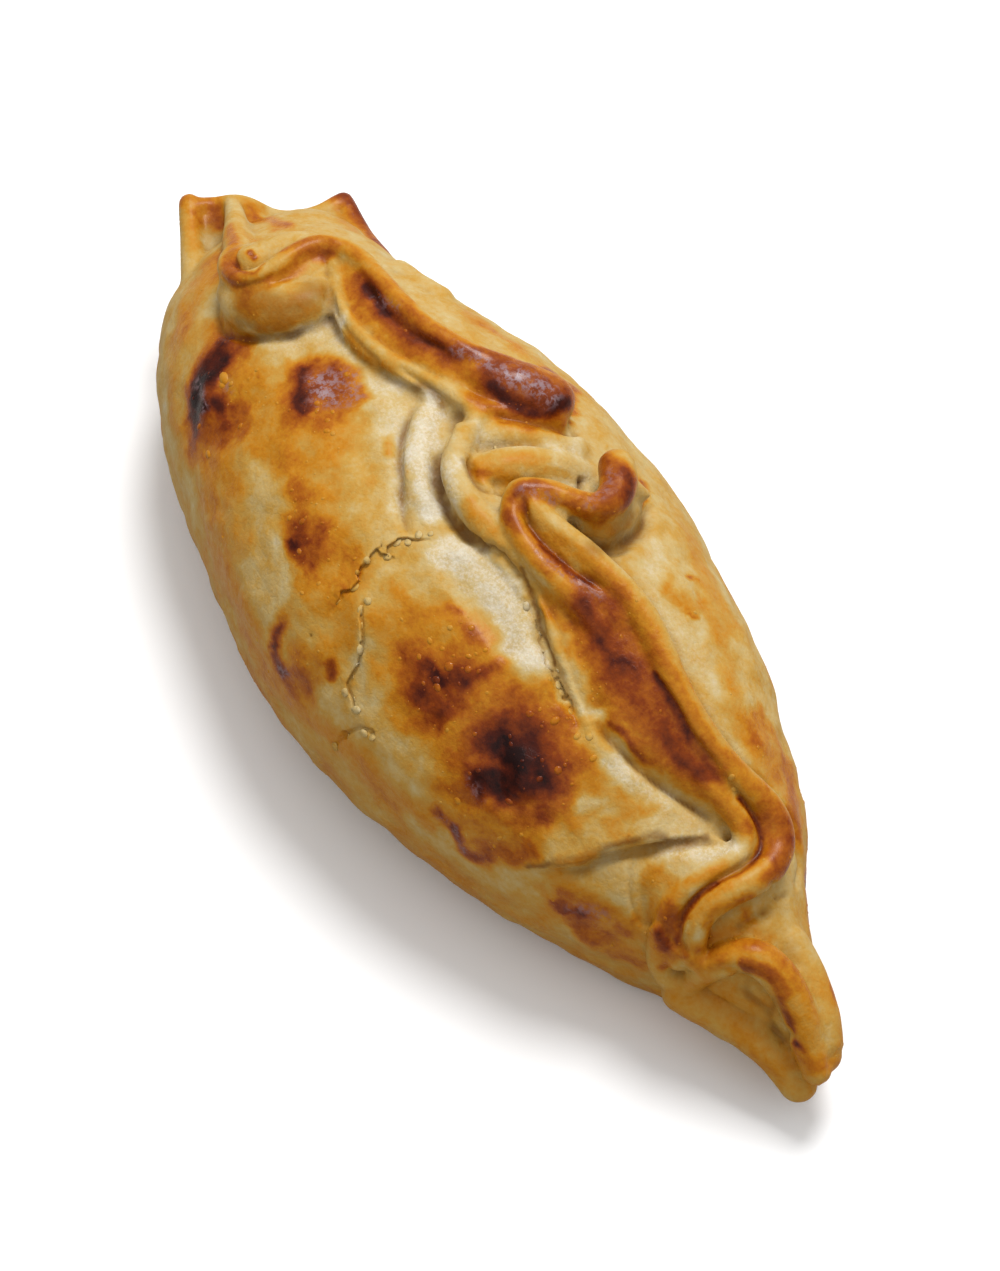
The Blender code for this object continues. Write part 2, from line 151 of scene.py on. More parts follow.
# %% The ribs
# (along, near side, far side, top, widest level, underside)
RIBS = np.array((
    (-1.00, 0.02, 0.40, 0.48, 0.40, 0.32),
    (-0.97, -0.22, 0.50, 0.55, 0.37, 0.19),
    (-0.93, -0.38, 0.56, 0.63, 0.35, 0.10),
    (-0.81, -0.61, 0.60, 0.78, 0.37, -0.03),
    (-0.66, -0.77, 0.68, 0.88, 0.39, -0.04),
    (-0.46, -0.89, 0.84, 0.95, 0.41, -0.04),
    (-0.23, -0.99, 0.97, 1.00, 0.43, -0.04),
    (0.00, -1.00, 1.00, 1.00, 0.43, -0.04),
    (0.23, -0.89, 0.93, 0.95, 0.41, -0.04),
    (0.46, -0.67, 0.82, 0.83, 0.39, -0.04),
    (0.63, -0.44, 0.67, 0.68, 0.33, -0.03),
    (0.77, -0.19, 0.46, 0.54, 0.28, -0.02),
    (0.90, -0.02, 0.33, 0.40, 0.23, -0.01),
    (1.00, 0.08, 0.27, 0.27, 0.17, 0.05),
))
SHOULDER = 2.1  # how square the crust's upper half is, where 2 is an ellipse
BELLY = 2.8  # how square its lower half is


def smooth_row(knots, rows, at):
    """Rows between the given rows, along a smooth curve through them."""
    slopes = np.gradient(rows, knots, axis=0)
    i = np.clip(np.searchsorted(knots, at) - 1, 0, len(knots) - 2)
    span = (knots[i + 1] - knots[i])[:, None]
    t = (at - knots[i])[:, None] / span
    return (
        rows[i] * (1 + 2 * t) * (1 - t) ** 2
        + rows[i + 1] * (3 - 2 * t) * t**2
        + span * t * (1 - t) * (slopes[i] * (1 - t) - slopes[i + 1] * t)
    )


def rib(x):
    """(middle, half width, top, widest level, underside) of the crust at each x, in millimetres."""
    at = np.clip(np.atleast_1d(x) / HALF_LENGTH, -1, 1)
    near, far, top, level, under = smooth_row(RIBS[:, 0], RIBS[:, 1:], at).T
    middle, half = (near + far) / 2 * HALF_WIDTH, (far - near) / 2 * HALF_WIDTH
    return middle, half, top * CRUST_HEIGHT, level * CRUST_HEIGHT, under * CRUST_HEIGHT


def crust_top(x, y):
    """Height of the filled crust above the table at (x, y)."""
    middle, half, top, level, _ = rib(x)
    out = np.minimum(np.abs(y - middle) / half, 1)
    return level + (top - level) * (1 - out**SHOULDER) ** (1 / SHOULDER)


print("height over the middle:", round(float(crust_top(0, 0)[0]), 1), "mm")

# %% [markdown]
# ## Blow up the pocket
#
# A UV sphere already has what a pocket of dough needs: two closed ends and rings between them. It is
# laid on its side so that its poles become the tail and the tip, and then each ring is fitted to the
# rib at its place. A loft between hand-drawn sections would do the same, but the sphere comes closed.

# %% Fit a sphere to the ribs
bpy.ops.object.select_all(action="DESELECT")
bpy.ops.mesh.primitive_uv_sphere_add(segments=96, ring_count=110, radius=1)
crust = bpy.context.active_object
crust.name = "crust_shell"
bpy.ops.object.mode_set(mode="EDIT")
bpy.ops.mesh.select_all(action="SELECT")
bpy.ops.transform.rotate(value=math.pi / 2, orient_axis="Y", center_override=(0, 0, 0))
bpy.ops.object.mode_set(mode="OBJECT")

END = 0.95  # the last stretch at each end, which rounds off
ball = points_of(crust) * MM
along = np.arcsin(np.clip(ball[:, 0], -1, 1)) / (math.pi / 2)
around = np.arctan2(ball[:, 2], ball[:, 1])
middle, half, top, level, under = rib(along * HALF_LENGTH)
rounding = np.sqrt(1 - (np.clip(np.abs(along) - END, 0, 1 - END) / (1 - END)) ** 2)
side, up = np.cos(around), np.sin(around)
power = np.where(up >= 0, 2 / SHOULDER, 2 / BELLY)
reach = np.where(up >= 0, top - level, level - under)
set_points(crust, np.column_stack((
    along * HALF_LENGTH,
    middle + rounding * half * np.sign(side) * np.abs(side) ** power,
    level + rounding * reach * np.sign(up) * np.abs(up) ** power,
)))
print("pocket:", [round(side * 1000, 1) for side in crust.dimensions], "mm")

# %% [markdown]
# ## Ropes and flaps of dough
#
# The sealed edge is two layers of dough pressed together. Where it rolls over it looks like a rope,
# and where it stands up, its side is a sloping face. So two tools make all the folds:
#
# - a **rope** is a Bezier curve with a round bevel, made a mesh, with a ball at each end;
# - a **flap** is a grid stretched from a foot line on the crust up to a rim, then extruded down
#   into the crust so that it becomes a solid wedge.
#
# Both follow the crust: their points are (along, across, lift over the crust, radius).

# %% The rope tool
def rope(points):
    """A round rope of dough through points (x, y, z, radius)."""
    bpy.ops.object.select_all(action="DESELECT")
    bpy.ops.curve.primitive_bezier_curve_add()
    obj = bpy.context.active_object
    obj.data.resolution_u = 8
    obj.data.twist_mode = "Z_UP"
    obj.data.bevel_depth = MM
    obj.data.bevel_resolution = 6
    obj.data.use_fill_caps = True
    spline = obj.data.splines[0]
    spline.bezier_points.add(len(points) - 2)
    for knot, (x, y, z, radius) in zip(spline.bezier_points, points):
        knot.co = Vector((x, y, z)) * MM
        knot.radius = radius
        knot.handle_left_type = knot.handle_right_type = "AUTO"
    bpy.ops.object.convert(target="MESH")
    pieces = [obj]
    for x, y, z, radius in (points[0], points[-1]):
        place = Vector((x, y, z)) * MM
        bpy.ops.mesh.primitive_ico_sphere_add(subdivisions=3, radius=radius * MM, location=place)
        pieces.append(bpy.context.active_object)
    return pieces


def fold(*points):
    """A rope that follows the crust: each point is (x, y, lift over the crust, radius)."""
    return rope([(x, y, float(crust_top(x, y)[0]) + lift, radius) for x, y, lift, radius in points])


# %% The flap tool
ROOT = 5.0  # how far a flap is extruded down, which roots it in the crust
FULLNESS = 0.45  # how flat the bowed face is, where 1 is a plain sine


def even(points, count):
    """count points at even steps along a smooth curve through points."""
    knots = np.array(points, dtype=float)
    steps = np.linalg.norm(np.diff(knots[:, :2], axis=0), axis=1)
    lengths = np.concatenate(([0.0], np.cumsum(steps)))
    return smooth_row(lengths, knots, np.linspace(0, lengths[-1], count))


def lifted(line):
    """Points (x, y, lift over the crust, ...) as places (x, y, z)."""
    return np.column_stack((line[:, :2], crust_top(line[:, 0], line[:, 1]) + line[:, 2]))


def flap(rim, foot, bulge=0.0, sag=1.0, rows=11, stations=44):
    """A wedge of dough between a foot line and a rim line, both of (x, y, lift over the crust).

    Its face is bowed outwards by bulge, furthest at half height, or lower down with a smaller sag.
    """
    bpy.ops.object.select_all(action="DESELECT")
    bpy.ops.mesh.primitive_grid_add(x_subdivisions=rows - 1, y_subdivisions=stations - 1, size=2)
    obj = bpy.context.active_object
    grid = points_of(obj) * MM
    t = (grid[:, :1] + 1) / 2
    station = np.rint((grid[:, 1] + 1) / 2 * (stations - 1)).astype(int)
    lowest, highest = lifted(even(foot, stations)), lifted(even([point[:3] for point in rim], stations))
    outward = lowest - highest
    outward[:, 2] = 0
    outward /= np.maximum(np.linalg.norm(outward, axis=1), 0.1)[:, None]
    outward[:, 2] = 0.7
    bow = bulge * np.abs(np.sin(math.pi * t**sag)) ** FULLNESS
    set_points(obj, lowest[station] * (1 - t) + highest[station] * t + outward[station] * bow)
    bpy.ops.object.mode_set(mode="EDIT")
    bpy.ops.mesh.select_all(action="SELECT")
    bpy.ops.mesh.extrude_region_move(TRANSFORM_OT_translate={"value": (0, 0, -ROOT * MM)})
    bpy.ops.mesh.select_all(action="SELECT")
    bpy.ops.mesh.normals_make_consistent(inside=False)
    bpy.ops.object.mode_set(mode="OBJECT")
    return [obj]


dough = [crust]

# %% [markdown]
# ## The first fold
#
# Beside the tail the seam starts in a small curl. Its rim runs up and over the top, swelling into a
# fat, blunt end. Below the rim hangs a browned face that finishes in a thin rolled lip, and under the
# curl a pocket of dough bulges out where the filling pushes.

# %% The first fold
CURL = ((-54.6, -5.0, 4.2, 0.9), (-53.8, -6.6, 4.2, 1.1), (-51.9, -7.8, 4.2, 1.3), (-49.3, -8.1, 4.3, 1.45),
        (-47.3, -7.3, 4.4, 1.5), (-46.3, -5.6, 4.5, 1.5), (-46.3, -3.5, 4.6, 1.5), (-46.8, -1.2, 4.7, 1.5),
        (-47.0, 1.2, 4.8, 1.5), (-46.6, 3.4, 4.9, 1.5), (-44.9, 5.0, 4.9, 1.5))
FIRST_RIM = ((-44.9, 5.4, 4.9, 1.5), (-41.5, 6.3, 4.7, 1.4), (-35.5, 6.4, 4.5, 1.35), (-31.5, 6.5, 4.4, 1.35),
             (-26.8, 7.1, 4.3, 1.4), (-22.6, 8.3, 4.1, 1.5), (-19.3, 9.9, 3.7, 1.8), (-16.2, 12.2, 3.2, 2.2),
             (-13.2, 14.8, 2.6, 2.5))
LIP = ((-44.0, 4.2, 3.2, 1.1), (-40.2, 2.1, 1.9, 1.4), (-36.6, 0.8, 1.4, 1.5), (-32.6, 0.3, 1.1, 1.6),
       (-28.7, 0.7, 0.9, 1.6), (-24.2, 1.8, 0.8, 1.7), (-20.0, 3.3, 0.8, 1.7), (-16.9, 4.7, 0.8, 1.8),
       (-14.0, 5.9, 0.7, 1.9), (-11.6, 8.2, 0.5, 2.0), (-9.4, 11.4, 0.3, 2.2), (-8.2, 14.0, 0.2, 2.2))
POUCH = ((-49.2, -7.8, 0.8, 2.8), (-46.2, -7.8, 0.5, 3.6), (-43.4, -6.5, 0.3, 4.0), (-41.4, -4.5, 0.3, 4.0),
         (-40.6, -2.0, 0.4, 3.6), (-41.2, 0.4, 0.6, 2.8))
FOLD_BACK = ((-52.6, 12.3, -1.2), (-40.3, 11.2, -1.2), (-32.4, 11.0, -1.2), (-27.3, 12.3, -1.2),
             (-22.0, 15.6, -1.2), (-16.0, 20.6, -1.4))
dough += fold(*CURL) + fold(*FIRST_RIM) + fold(*LIP) + fold(*POUCH)
dough += fold((-50.8, -5.3, 4.0, 2.0), (-50.0, -4.9, 4.0, 2.0))
dough += fold((-51.4, -5.6, 1.8, 3.4), (-50.0, -3.0, 2.2, 3.2), (-49.2, 0.8, 2.4, 3.0), (-46.0, 4.6, 2.6, 2.6))
dough += flap(CURL[3:], [point[:3] for point in POUCH], bulge=1.3)
dough += flap(FIRST_RIM, [point[:3] for point in LIP], bulge=0.8)
dough += flap(FIRST_RIM[1:7], FOLD_BACK[1:], bulge=0.3)
dough += fold((-19.4, 8.4, 2.0, 2.2), (-16.4, 10.2, 2.1, 3.1), (-13.6, 12.8, 2.1, 3.7), (-11.2, 15.2, 1.9, 3.6))

# %% [markdown]
# ## The second fold
#
# The seam then turns back under the first fold. Its rim makes a tight bend and runs on as a low ledge,
# a finger of dough lies inside the bend, and a shallow crescent is pushed up beside it.

# %% The second fold
SECOND_RIM = ((-13.4, 7.4, 0.2, 1.9), (-11.7, 4.5, 0.7, 1.9), (-9.6, 1.8, 0.9, 1.9), (-7.3, -0.3, 1.0, 1.9),
              (-4.5, -1.5, 1.4, 1.8), (-1.4, -1.8, 1.2, 2.0), (2.0, -1.4, 0.9, 2.1), (6.0, -0.8, 0.6, 2.1),
              (10.5, -0.2, 0.0, 2.2), (15.0, -0.4, -0.6, 2.2), (19.6, -1.4, -1.2, 2.2), (26.0, -2.4, -2.0, 2.2))
dough += fold(*SECOND_RIM)
dough += fold((-5.6, 2.4, -0.6, 2.3), (-4.8, 4.8, -0.6, 2.9), (-3.8, 7.6, -0.9, 3.2), (-2.6, 10.6, -1.3, 3.2),
              (-0.8, 13.4, -2.4, 2.8))
dough += fold((-10.4, 5.6, -0.6, 2.2), (-9.0, 8.0, -0.6, 2.6), (-7.2, 11.0, -0.9, 2.8), (-5.0, 14.4, -1.6, 2.8))
dough += fold((-3.6, 0.2, -0.8, 2.2), (-0.2, 0.4, -0.6, 2.5), (3.4, -0.2, -0.8, 2.6), (7.2, -0.2, -1.0, 2.4))
dough += fold((-19.0, 4.2, -2.0, 2.2), (-16.2, 0.8, -1.6, 2.5), (-13.0, -1.8, -1.6, 2.6), (-9.6, -4.2, -1.7, 2.6),
              (-6.0, -5.8, -2.0, 2.6), (-2.4, -7.0, -2.6, 2.4))

# %% [markdown]
# ## The third fold
#
# The longest fold starts in a standing arm with a knob at its end, turns sharply, and runs to the tip
# as two rolled layers with a groove between them. The lower layer widens into a broad face.

# %% The third fold
ARM = ((2.6, 16.8, 4.6, 2.4), (4.9, 15.6, 4.6, 2.5), (6.9, 13.2, 4.3, 2.2), (7.1, 10.8, 4.2, 1.8),
       (5.4, 8.5, 4.2, 1.7), (3.1, 6.3, 4.2, 1.7), (1.8, 3.9, 4.0, 1.8))
RIGHT_ROLL = ((1.8, 4.4, 3.8, 1.8), (3.4, 3.9, 3.7, 1.7), (5.6, 4.2, 3.7, 1.6), (8.4, 5.0, 3.7, 1.6),
              (11.6, 6.1, 3.7, 1.7), (14.6, 7.0, 3.7, 1.7), (18.0, 7.9, 3.6, 1.8), (21.6, 8.4, 3.5, 1.8),
              (25.4, 8.2, 3.4, 1.8), (30.0, 7.6, 3.3, 1.8), (34.4, 7.5, 3.2, 1.8), (38.2, 8.0, 3.2, 1.8),
              (41.6, 9.0, 3.2, 1.9), (44.4, 10.4, 3.2, 1.9))
LEFT_ROLL = ((1.4, 3.6, 3.6, 1.7), (2.2, 2.2, 3.3, 1.5), (4.0, 1.1, 3.1, 1.5), (6.5, 0.7, 3.0, 1.5),
             (9.8, 0.9, 2.8, 1.6), (13.4, 1.7, 2.4, 1.7), (17.0, 3.0, 1.6, 1.9), (21.0, 3.8, 0.6, 2.0))
dough += fold(*ARM) + fold(*RIGHT_ROLL) + fold(*LEFT_ROLL)
dough += fold((5.0, 17.4, 3.2, 1.4), (5.9, 18.7, 3.0, 0.9)) + fold((3.4, 5.2, 3.2, 1.6), (6.2, 5.9, 2.4, 1.6))
dough += fold((3.4, 2.9, 2.4, 1.8), (8.0, 2.9, 2.2, 1.9), (14.0, 4.5, 1.9, 2.0), (20.0, 6.0, 1.2, 2.4))
dough += flap(ARM, ((4.5, 19.6, -0.8), (7.2, 17.4, -0.8), (9.2, 14.2, -0.8), (9.8, 10.8, -0.6), (8.4, 8.4, -0.2),
                    (5.8, 6.9, 0.4), (3.6, 5.6, 1.6)), bulge=0.9)
dough += flap(((9.0, 5.2, 2.8), (14.6, 7.0, 3.2), (21.6, 8.3, 3.1), (30.0, 7.5, 2.9), (38.2, 7.9, 2.9), (45.0, 10.4, 2.8)),
              ((8.0, -0.6, -0.8), (13.0, 0.2, -0.8), (17.4, 0.6, -0.9), (21.2, -0.3, -1.0), (25.0, -1.1, -1.1),
               (28.6, -1.2, -1.1), (32.4, -0.4, -1.1), (36.4, 1.2, -1.0), (40.4, 3.6, -0.9), (44.0, 5.6, -0.8)),
              bulge=1.8)

# %% [markdown]
# ## The loop and the tip
#
# Before the tip the seam bends back on itself in a tight loop of two layers, with a swollen face below
# it. A last roll runs from under the loop to the very end, between the two lobes of the pinched tip.

# %% The loop and the tip
OUTER_LOOP = ((43.6, 10.0, 3.2, 1.9), (46.6, 11.2, 3.2, 2.0), (49.6, 10.5, 3.2, 2.1), (51.7, 8.0, 3.2, 2.1),
              (52.5, 4.6, 3.2, 1.9), (52.4, 1.2, 3.2, 1.8), (52.5, -1.7, 3.1, 1.6), (53.3, -3.4, 2.9, 1.6),
              (54.7, -3.9, 2.7, 1.6), (56.0, -3.0, 2.5, 1.4))
INNER_LOOP = ((36.0, 5.2, 0.6, 1.8), (40.0, 5.8, 1.2, 1.7), (43.6, 6.7, 1.8, 1.6), (46.6, 7.1, 2.1, 1.5),
              (48.7, 5.9, 2.2, 1.4), (49.4, 3.2, 2.2, 1.4), (49.3, 0.0, 2.2, 1.5), (49.3, -2.6, 2.2, 1.5),
              (49.5, -4.8, 2.1, 1.5), (50.4, -6.4, 1.9, 1.5), (52.2, -6.7, 1.6, 1.5), (54.4, -5.6, 1.2, 1.5))
LAST_ROLL = ((54.9, -4.8, 1.6, 1.4), (56.2, -3.0, 1.9, 1.7), (57.3, -1.0, 2.1, 2.0), (58.7, 1.1, 2.3, 2.2),
             (60.9, 2.6, 2.3, 2.3), (63.5, 3.3, 2.2, 2.3), (66.2, 3.4, 2.0, 2.2), (68.8, 3.1, 1.5, 2.1),
             (71.3, 3.0, 0.0, 2.0))
dough += fold(*OUTER_LOOP) + fold(*INNER_LOOP) + fold(*LAST_ROLL)
dough += fold((44.0, 9.0, 0.9, 2.2), (48.6, 8.4, 1.2, 2.0), (51.0, 4.0, 1.5, 1.8), (50.9, 0.0, 1.5, 1.8),
              (51.2, -3.6, 1.3, 1.8), (52.8, -5.2, 1.0, 1.7))
dough += flap(INNER_LOOP[4:], ((46.6, 4.6, -0.8), (44.6, 1.0, -0.9), (43.4, -3.0, -1.0), (44.0, -5.8, -1.3),
                               (46.4, -7.0, -1.6), (49.4, -6.8, -1.8), (52.4, -5.4, -1.8)), bulge=1.6)
dough += fold((54.4, -5.2, -1.2, 2.8), (60.0, -1.8, -0.6, 3.1), (65.4, 0.4, -0.4, 2.9), (70.0, 1.6, -1.4, 2.5))
dough += fold((58.0, 7.0, -2.6, 2.8), (62.0, 6.8, -1.8, 3.0), (66.4, 6.0, -1.2, 3.0), (70.0, 4.8, -1.6, 2.6))

# %% [markdown]
# ## The tail
#
# At the other end the dough is pinched flat into a wavy fan with an ear at each side. It is a grid
# again, with its edge set by the pinched outline, sagging a little towards the crust, and extruded
# down. Ropes round off its edge and the rib that two fingers left.

# %% The tail
TAIL_EDGE = ((-73.6, -2.0, 22.4, 1.5), (-72.6, 0.8, 22.2, 1.3), (-70.8, 3.4, 22.8, 1.4), (-68.2, 8.0, 19.8, 1.1),
             (-67.0, 12.6, 18.6, 1.2), (-67.2, 17.4, 18.0, 1.5))
TAIL_ROOT = ((-58.0, -9.0, 22.0), (-57.0, -4.0, 26.0), (-56.0, 1.0, 29.0), (-56.0, 6.0, 28.0),
             (-55.0, 11.0, 25.0), (-54.0, 15.0, 21.0))
TAIL_DISH = 1.6
ROWS, STATIONS = 12, 40
bpy.ops.object.select_all(action="DESELECT")
bpy.ops.mesh.primitive_grid_add(x_subdivisions=ROWS - 1, y_subdivisions=STATIONS - 1, size=2)
fan = bpy.context.active_object
grid = points_of(fan) * MM
row = ((grid[:, 0] + 1) / 2)[:, None]
station = np.rint((grid[:, 1] + 1) / 2 * (STATIONS - 1)).astype(int)
edge_line, root_line = even(TAIL_EDGE, STATIONS)[:, :3], even(TAIL_ROOT, STATIONS)
spread = edge_line[station] * (1 - row) + root_line[station] * row
spread[:, 2:] += 1.0 - TAIL_DISH * 4 * row * (1 - row)
set_points(fan, spread)
bpy.ops.object.mode_set(mode="EDIT")
bpy.ops.mesh.select_all(action="SELECT")
bpy.ops.mesh.extrude_region_move(TRANSFORM_OT_translate={"value": (0, 0, -3.2 * MM)})
bpy.ops.mesh.select_all(action="SELECT")
bpy.ops.mesh.normals_make_consistent(inside=False)
bpy.ops.object.mode_set(mode="OBJECT")
dough += [fan] + rope(TAIL_EDGE)
dough += rope(((-71.2, 2.6, 23.2, 1.1), (-67.0, 1.0, 25.4, 1.5), (-61.0, -1.8, 29.0, 2.0), (-54.5, -4.6, 33.2, 2.4)))
dough += rope(((-74.4, -2.2, 22.6, 1.5), (-69.6, -4.6, 22.2, 1.5), (-62.0, -8.0, 22.6, 2.0)))
dough += rope(((-67.2, 17.4, 18.0, 1.5), (-61.0, 16.6, 18.0, 1.6), (-54.0, 15.6, 20.2, 2.0)))

# %% [markdown]
# ## Knead it into one skin
#
# All the parts are joined and given one skin with a voxel remesh, as wet dough runs together where it
# touches. A Boolean union would keep every seam knife-sharp, and so the remesh is the better tool here.
# A few rounds of smoothing soften what is left of the seams.

# %% Fuse and soften
def apply(obj, kind, **settings):
    """Adds one modifier with these settings and applies it."""
    only(obj)
    modifier = obj.modifiers.new(kind.lower(), kind)
    for name, value in settings.items():
        setattr(modifier, name, value)
    bpy.ops.object.modifier_apply(modifier=modifier.name)


bpy.ops.object.select_all(action="DESELECT")
for piece in dough:
    piece.select_set(True)
bpy.context.view_layer.objects.active = crust
bpy.ops.object.join()
apply(crust, "REMESH", mode="VOXEL", voxel_size=VOXEL * MM)
apply(crust, "SMOOTH", factor=0.5, iterations=6)
print("kneaded:", len(crust.data.vertices), "points")

# %% Drop any sealed hollow
only(crust)
bpy.ops.object.mode_set(mode="EDIT")
bpy.ops.mesh.select_all(action="DESELECT")
bpy.ops.object.mode_set(mode="OBJECT")
highest = int(np.argmax(points_of(crust)[:, 2]))
crust.data.vertices[highest].select = True
bpy.ops.object.mode_set(mode="EDIT")
bpy.ops.mesh.select_linked()
bpy.ops.mesh.select_all(action="INVERT")
bpy.ops.mesh.delete(type="VERT")
bpy.ops.object.mode_set(mode="OBJECT")
print("outer skin:", len(crust.data.vertices), "points")

# %% [markdown]
# ## Sculpt by coordinates
#
# What is left of the shape is small: creases, a torn skin, dents and lumps. A person would use the
# sculpt brushes. A script can do the same by moving each point along its own outward direction, by an
# amount that fades with the distance from a line. The lines are (along, across) places that are
# dropped straight down on to the crust, so they always lie on its real surface.

# %% Lines on the crust
UP = Vector((0, 0, 1))
SPACING = 0.7  # between the points of a line laid on the crust


def skin_of(obj):
    """A search tree over a mesh's faces."""
    return BVHTree.FromObject(obj, bpy.context.evaluated_depsgraph_get())


def land(x, y):
    """The place on the crust straight below (x, y), or the nearest place if there is none below."""
    place = skin.ray_cast(Vector((x, y, 100)) * MM, -UP)[0]
    if place is None:
        place = skin.find_nearest(Vector((x, y, float(rib(x)[3][0]))) * MM)[0]
    return np.array(place) / MM


def trace(line, ragged=0.0):
    """A line of (x, y) laid on the crust with points every SPACING, shaken sideways by ragged."""
    if len(line) == 1:
        return np.array([land(*line[0])] * 2)
    knots = np.array(line, dtype=float)
    length = np.linalg.norm(np.diff(knots, axis=0), axis=1).sum()
    path = even(line, max(3, int(length / SPACING)))
    shake = [noise.noise_vector(Vector((x, y, 0)) * 1.7) for x, y in path]
    path += ragged * np.array(shake)[:, :2]
    return np.array([land(x, y) for x, y in path])


def near(points, outward, path, reach):
    """The points within reach of a path: their numbers, distance, side and share of the way along."""
    low_corner, high_corner = path.min(axis=0) - reach, path.max(axis=0) + reach
    chosen = np.flatnonzero(np.all((points > low_corner) & (points < high_corner), axis=1))
    here = points[chosen]
    gap, side, share = np.full(len(chosen), 1e9), np.zeros(len(chosen)), np.zeros(len(chosen))
    for number, (start, end) in enumerate(zip(path, path[1:])):
        step = end - start
        way = np.clip((here - start) @ step / max(step @ step, 1e-9), 0, 1)
        apart = here - start - way[:, None] * step
        distance = np.linalg.norm(apart, axis=1)
        closer = distance < gap
        gap[closer] = distance[closer]
        across = np.cross(outward[chosen[closer]], step)
        side[closer] = np.sign(np.einsum("ij,ij->i", across, apart[closer]))
        share[closer] = (number + way[closer]) / (len(path) - 1)
    kept = gap < reach
    return chosen[kept], gap[kept], side[kept], share[kept]


skin = skin_of(crust)
print("the crest over the middle lies at", np.round(land(0, 0), 1), "mm")

# %% [markdown]
# ## Three sculpting strokes
#
# - **press** pushes a groove in along a line; with a minus depth it raises a ridge;
# - **ledge** lifts the dough on the left of a line and sinks the other side, so that one sheet of dough
#   lies over the next one;
# - **swell** pushes out a round patch, and with a minus height it dents one.

# %% The strokes
def push(chosen, outward, amount):
    """Moves the chosen points outwards by these amounts."""
    points = points_of(crust)
    points[chosen] += outward[chosen] * amount[:, None]
    set_points(crust, points)


def press(width, depth, *line, ragged=0.0):
    """A groove along a line of (x, y), fading out at both ends."""
    outward = normals_of(crust)
    chosen, gap, _, share = near(points_of(crust), outward, trace(line, ragged), 2.5 * width)
    taper = np.clip(7 * np.minimum(share, 1 - share), 0, 1) ** 0.6
    push(chosen, outward, -depth * taper * np.exp(-((gap / width) ** 2)))


def smooth_step(t):
    """0 to 1 with a soft start and end."""
    t = np.clip(t, 0, 1)
    return t * t * (3 - 2 * t)


def ledge(height, reach, *line, step=0.7, ragged=0.0):
    """The sheet on the left of a line lies over the one on the right, with a drop step wide."""
    outward = normals_of(crust)
    chosen, gap, side, share = near(points_of(crust), outward, trace(line, ragged), 3 * reach)
    taper = np.clip(5 * np.minimum(share, 1 - share), 0, 1)
    over = smooth_step(0.5 + side * gap / step)
    push(chosen, outward, height * taper * (over * np.exp(-gap / reach) - 0.7 * (1 - over) * np.exp(-2 * gap / reach)))


def swell(radius, height, *line):
    """A round patch, or a sausage along a line, pushed out by height."""
    outward = normals_of(crust)
    chosen, gap, _, _ = near(points_of(crust), outward, trace(line), radius)
    push(chosen, outward, height * (1 - (gap / radius) ** 2) ** 2)


# %% [markdown]
# ## Uneven by hand
#
# Dough rolled and filled by hand is never a clean boat. Two Displace modifiers with cloud textures
# make it lumpy: broad swells from the filling below, and small dents from fingers.

# %% Lumps and dents
def displace(name, size, strength, **settings):
    """Displaces the crust's plain parts by a cloud texture whose lumps are about size millimetres."""
    texture = bpy.data.textures.new(name, "CLOUDS")
    texture.noise_scale = size * MM
    for setting, value in settings.items():
        setattr(texture, setting, value)
    apply(crust, "DISPLACE", texture=texture, strength=strength * MM, mid_level=0.5, texture_coords="LOCAL",
          vertex_group="plain")


points = points_of(crust)
proud = points[:, 2] - crust_top(points[:, 0], points[:, 1])
plain = np.clip(1 - (proud - 0.4) / 1.2, 0.2, 1) * np.clip((points[:, 0] + 66) / 8, 0, 1)
group = crust.vertex_groups.new(name="plain")
for tenth in range(1, 11):
    members = np.flatnonzero(np.rint(plain * 10) == tenth)
    group.add(members.tolist(), tenth / 10, "REPLACE")

displace("filling", 13.0, 1.5)
displace("fingers", 5.0, 0.75, noise_depth=1)
print("lumpy crust:", [round(side * 1000, 1) for side in crust.dimensions], "mm")

# %% [markdown]
# ## Creases between the folds
#
# Where a fold meets the crust the dough is pinched into a dark crease. These grooves follow the feet
# of the folds. The pocket under the curl and the lobe beside the loop also overhang a little, so the
# crease runs right round them.

# %% Creases
skin = skin_of(crust)
POCKET_FOOT = ((-53.4, -8.6), (-50.2, -10.7), (-45.2, -11.9), (-42.6, -10.9), (-40.2, -9.3), (-37.9, -6.2),
               (-37.3, -3.4))
press(0.6, 0.6, *POCKET_FOOT)
press(0.5, 0.4, (-45.0, 3.0), (-43.4, 2.2), (-41.4, 1.2), (-36.0, -0.6))
press(0.6, 0.3, (-41.4, 1.2), (-38.0, -0.4), (-35.7, -0.6), (-32.4, -1.0), (-28.4, -0.6), (-23.4, 0.4), (-19.6, 1.8))
press(1.0, 0.8, (-24.0, 1.2), (-19.6, 2.4), (-16.8, 3.2), (-13.5, 3.8), (-10.6, 4.4))
press(0.6, 0.8, (-18.6, 0.6), (-16.6, -2.1), (-14.2, -4.2), (-10.1, -6.6), (-6.4, -8.4), (-2.6, -9.6))
press(0.7, 1.1, (-14.6, 4.8), (-12.9, 2.6), (-10.9, 0.4), (-8.5, -1.9), (-5.4, -3.6), (-2.0, -4.3), (3.4, -3.5),
      (6.3, -2.6), (9.6, -2.0), (12.6, -1.8), (15.5, -2.4), (17.8, -3.1), (21.4, -3.7), (25.4, -4.2), (30.0, -4.6),
      ragged=0.3)
press(0.5, 0.9, (-7.0, 1.8), (-5.0, 0.7), (-2.9, 0.9), (-1.5, 2.0), (-0.9, 3.9), (-1.0, 5.4))
press(0.5, 0.5, (-8.0, 3.8), (-7.2, 6.6), (-5.6, 9.8), (-3.6, 12.4))
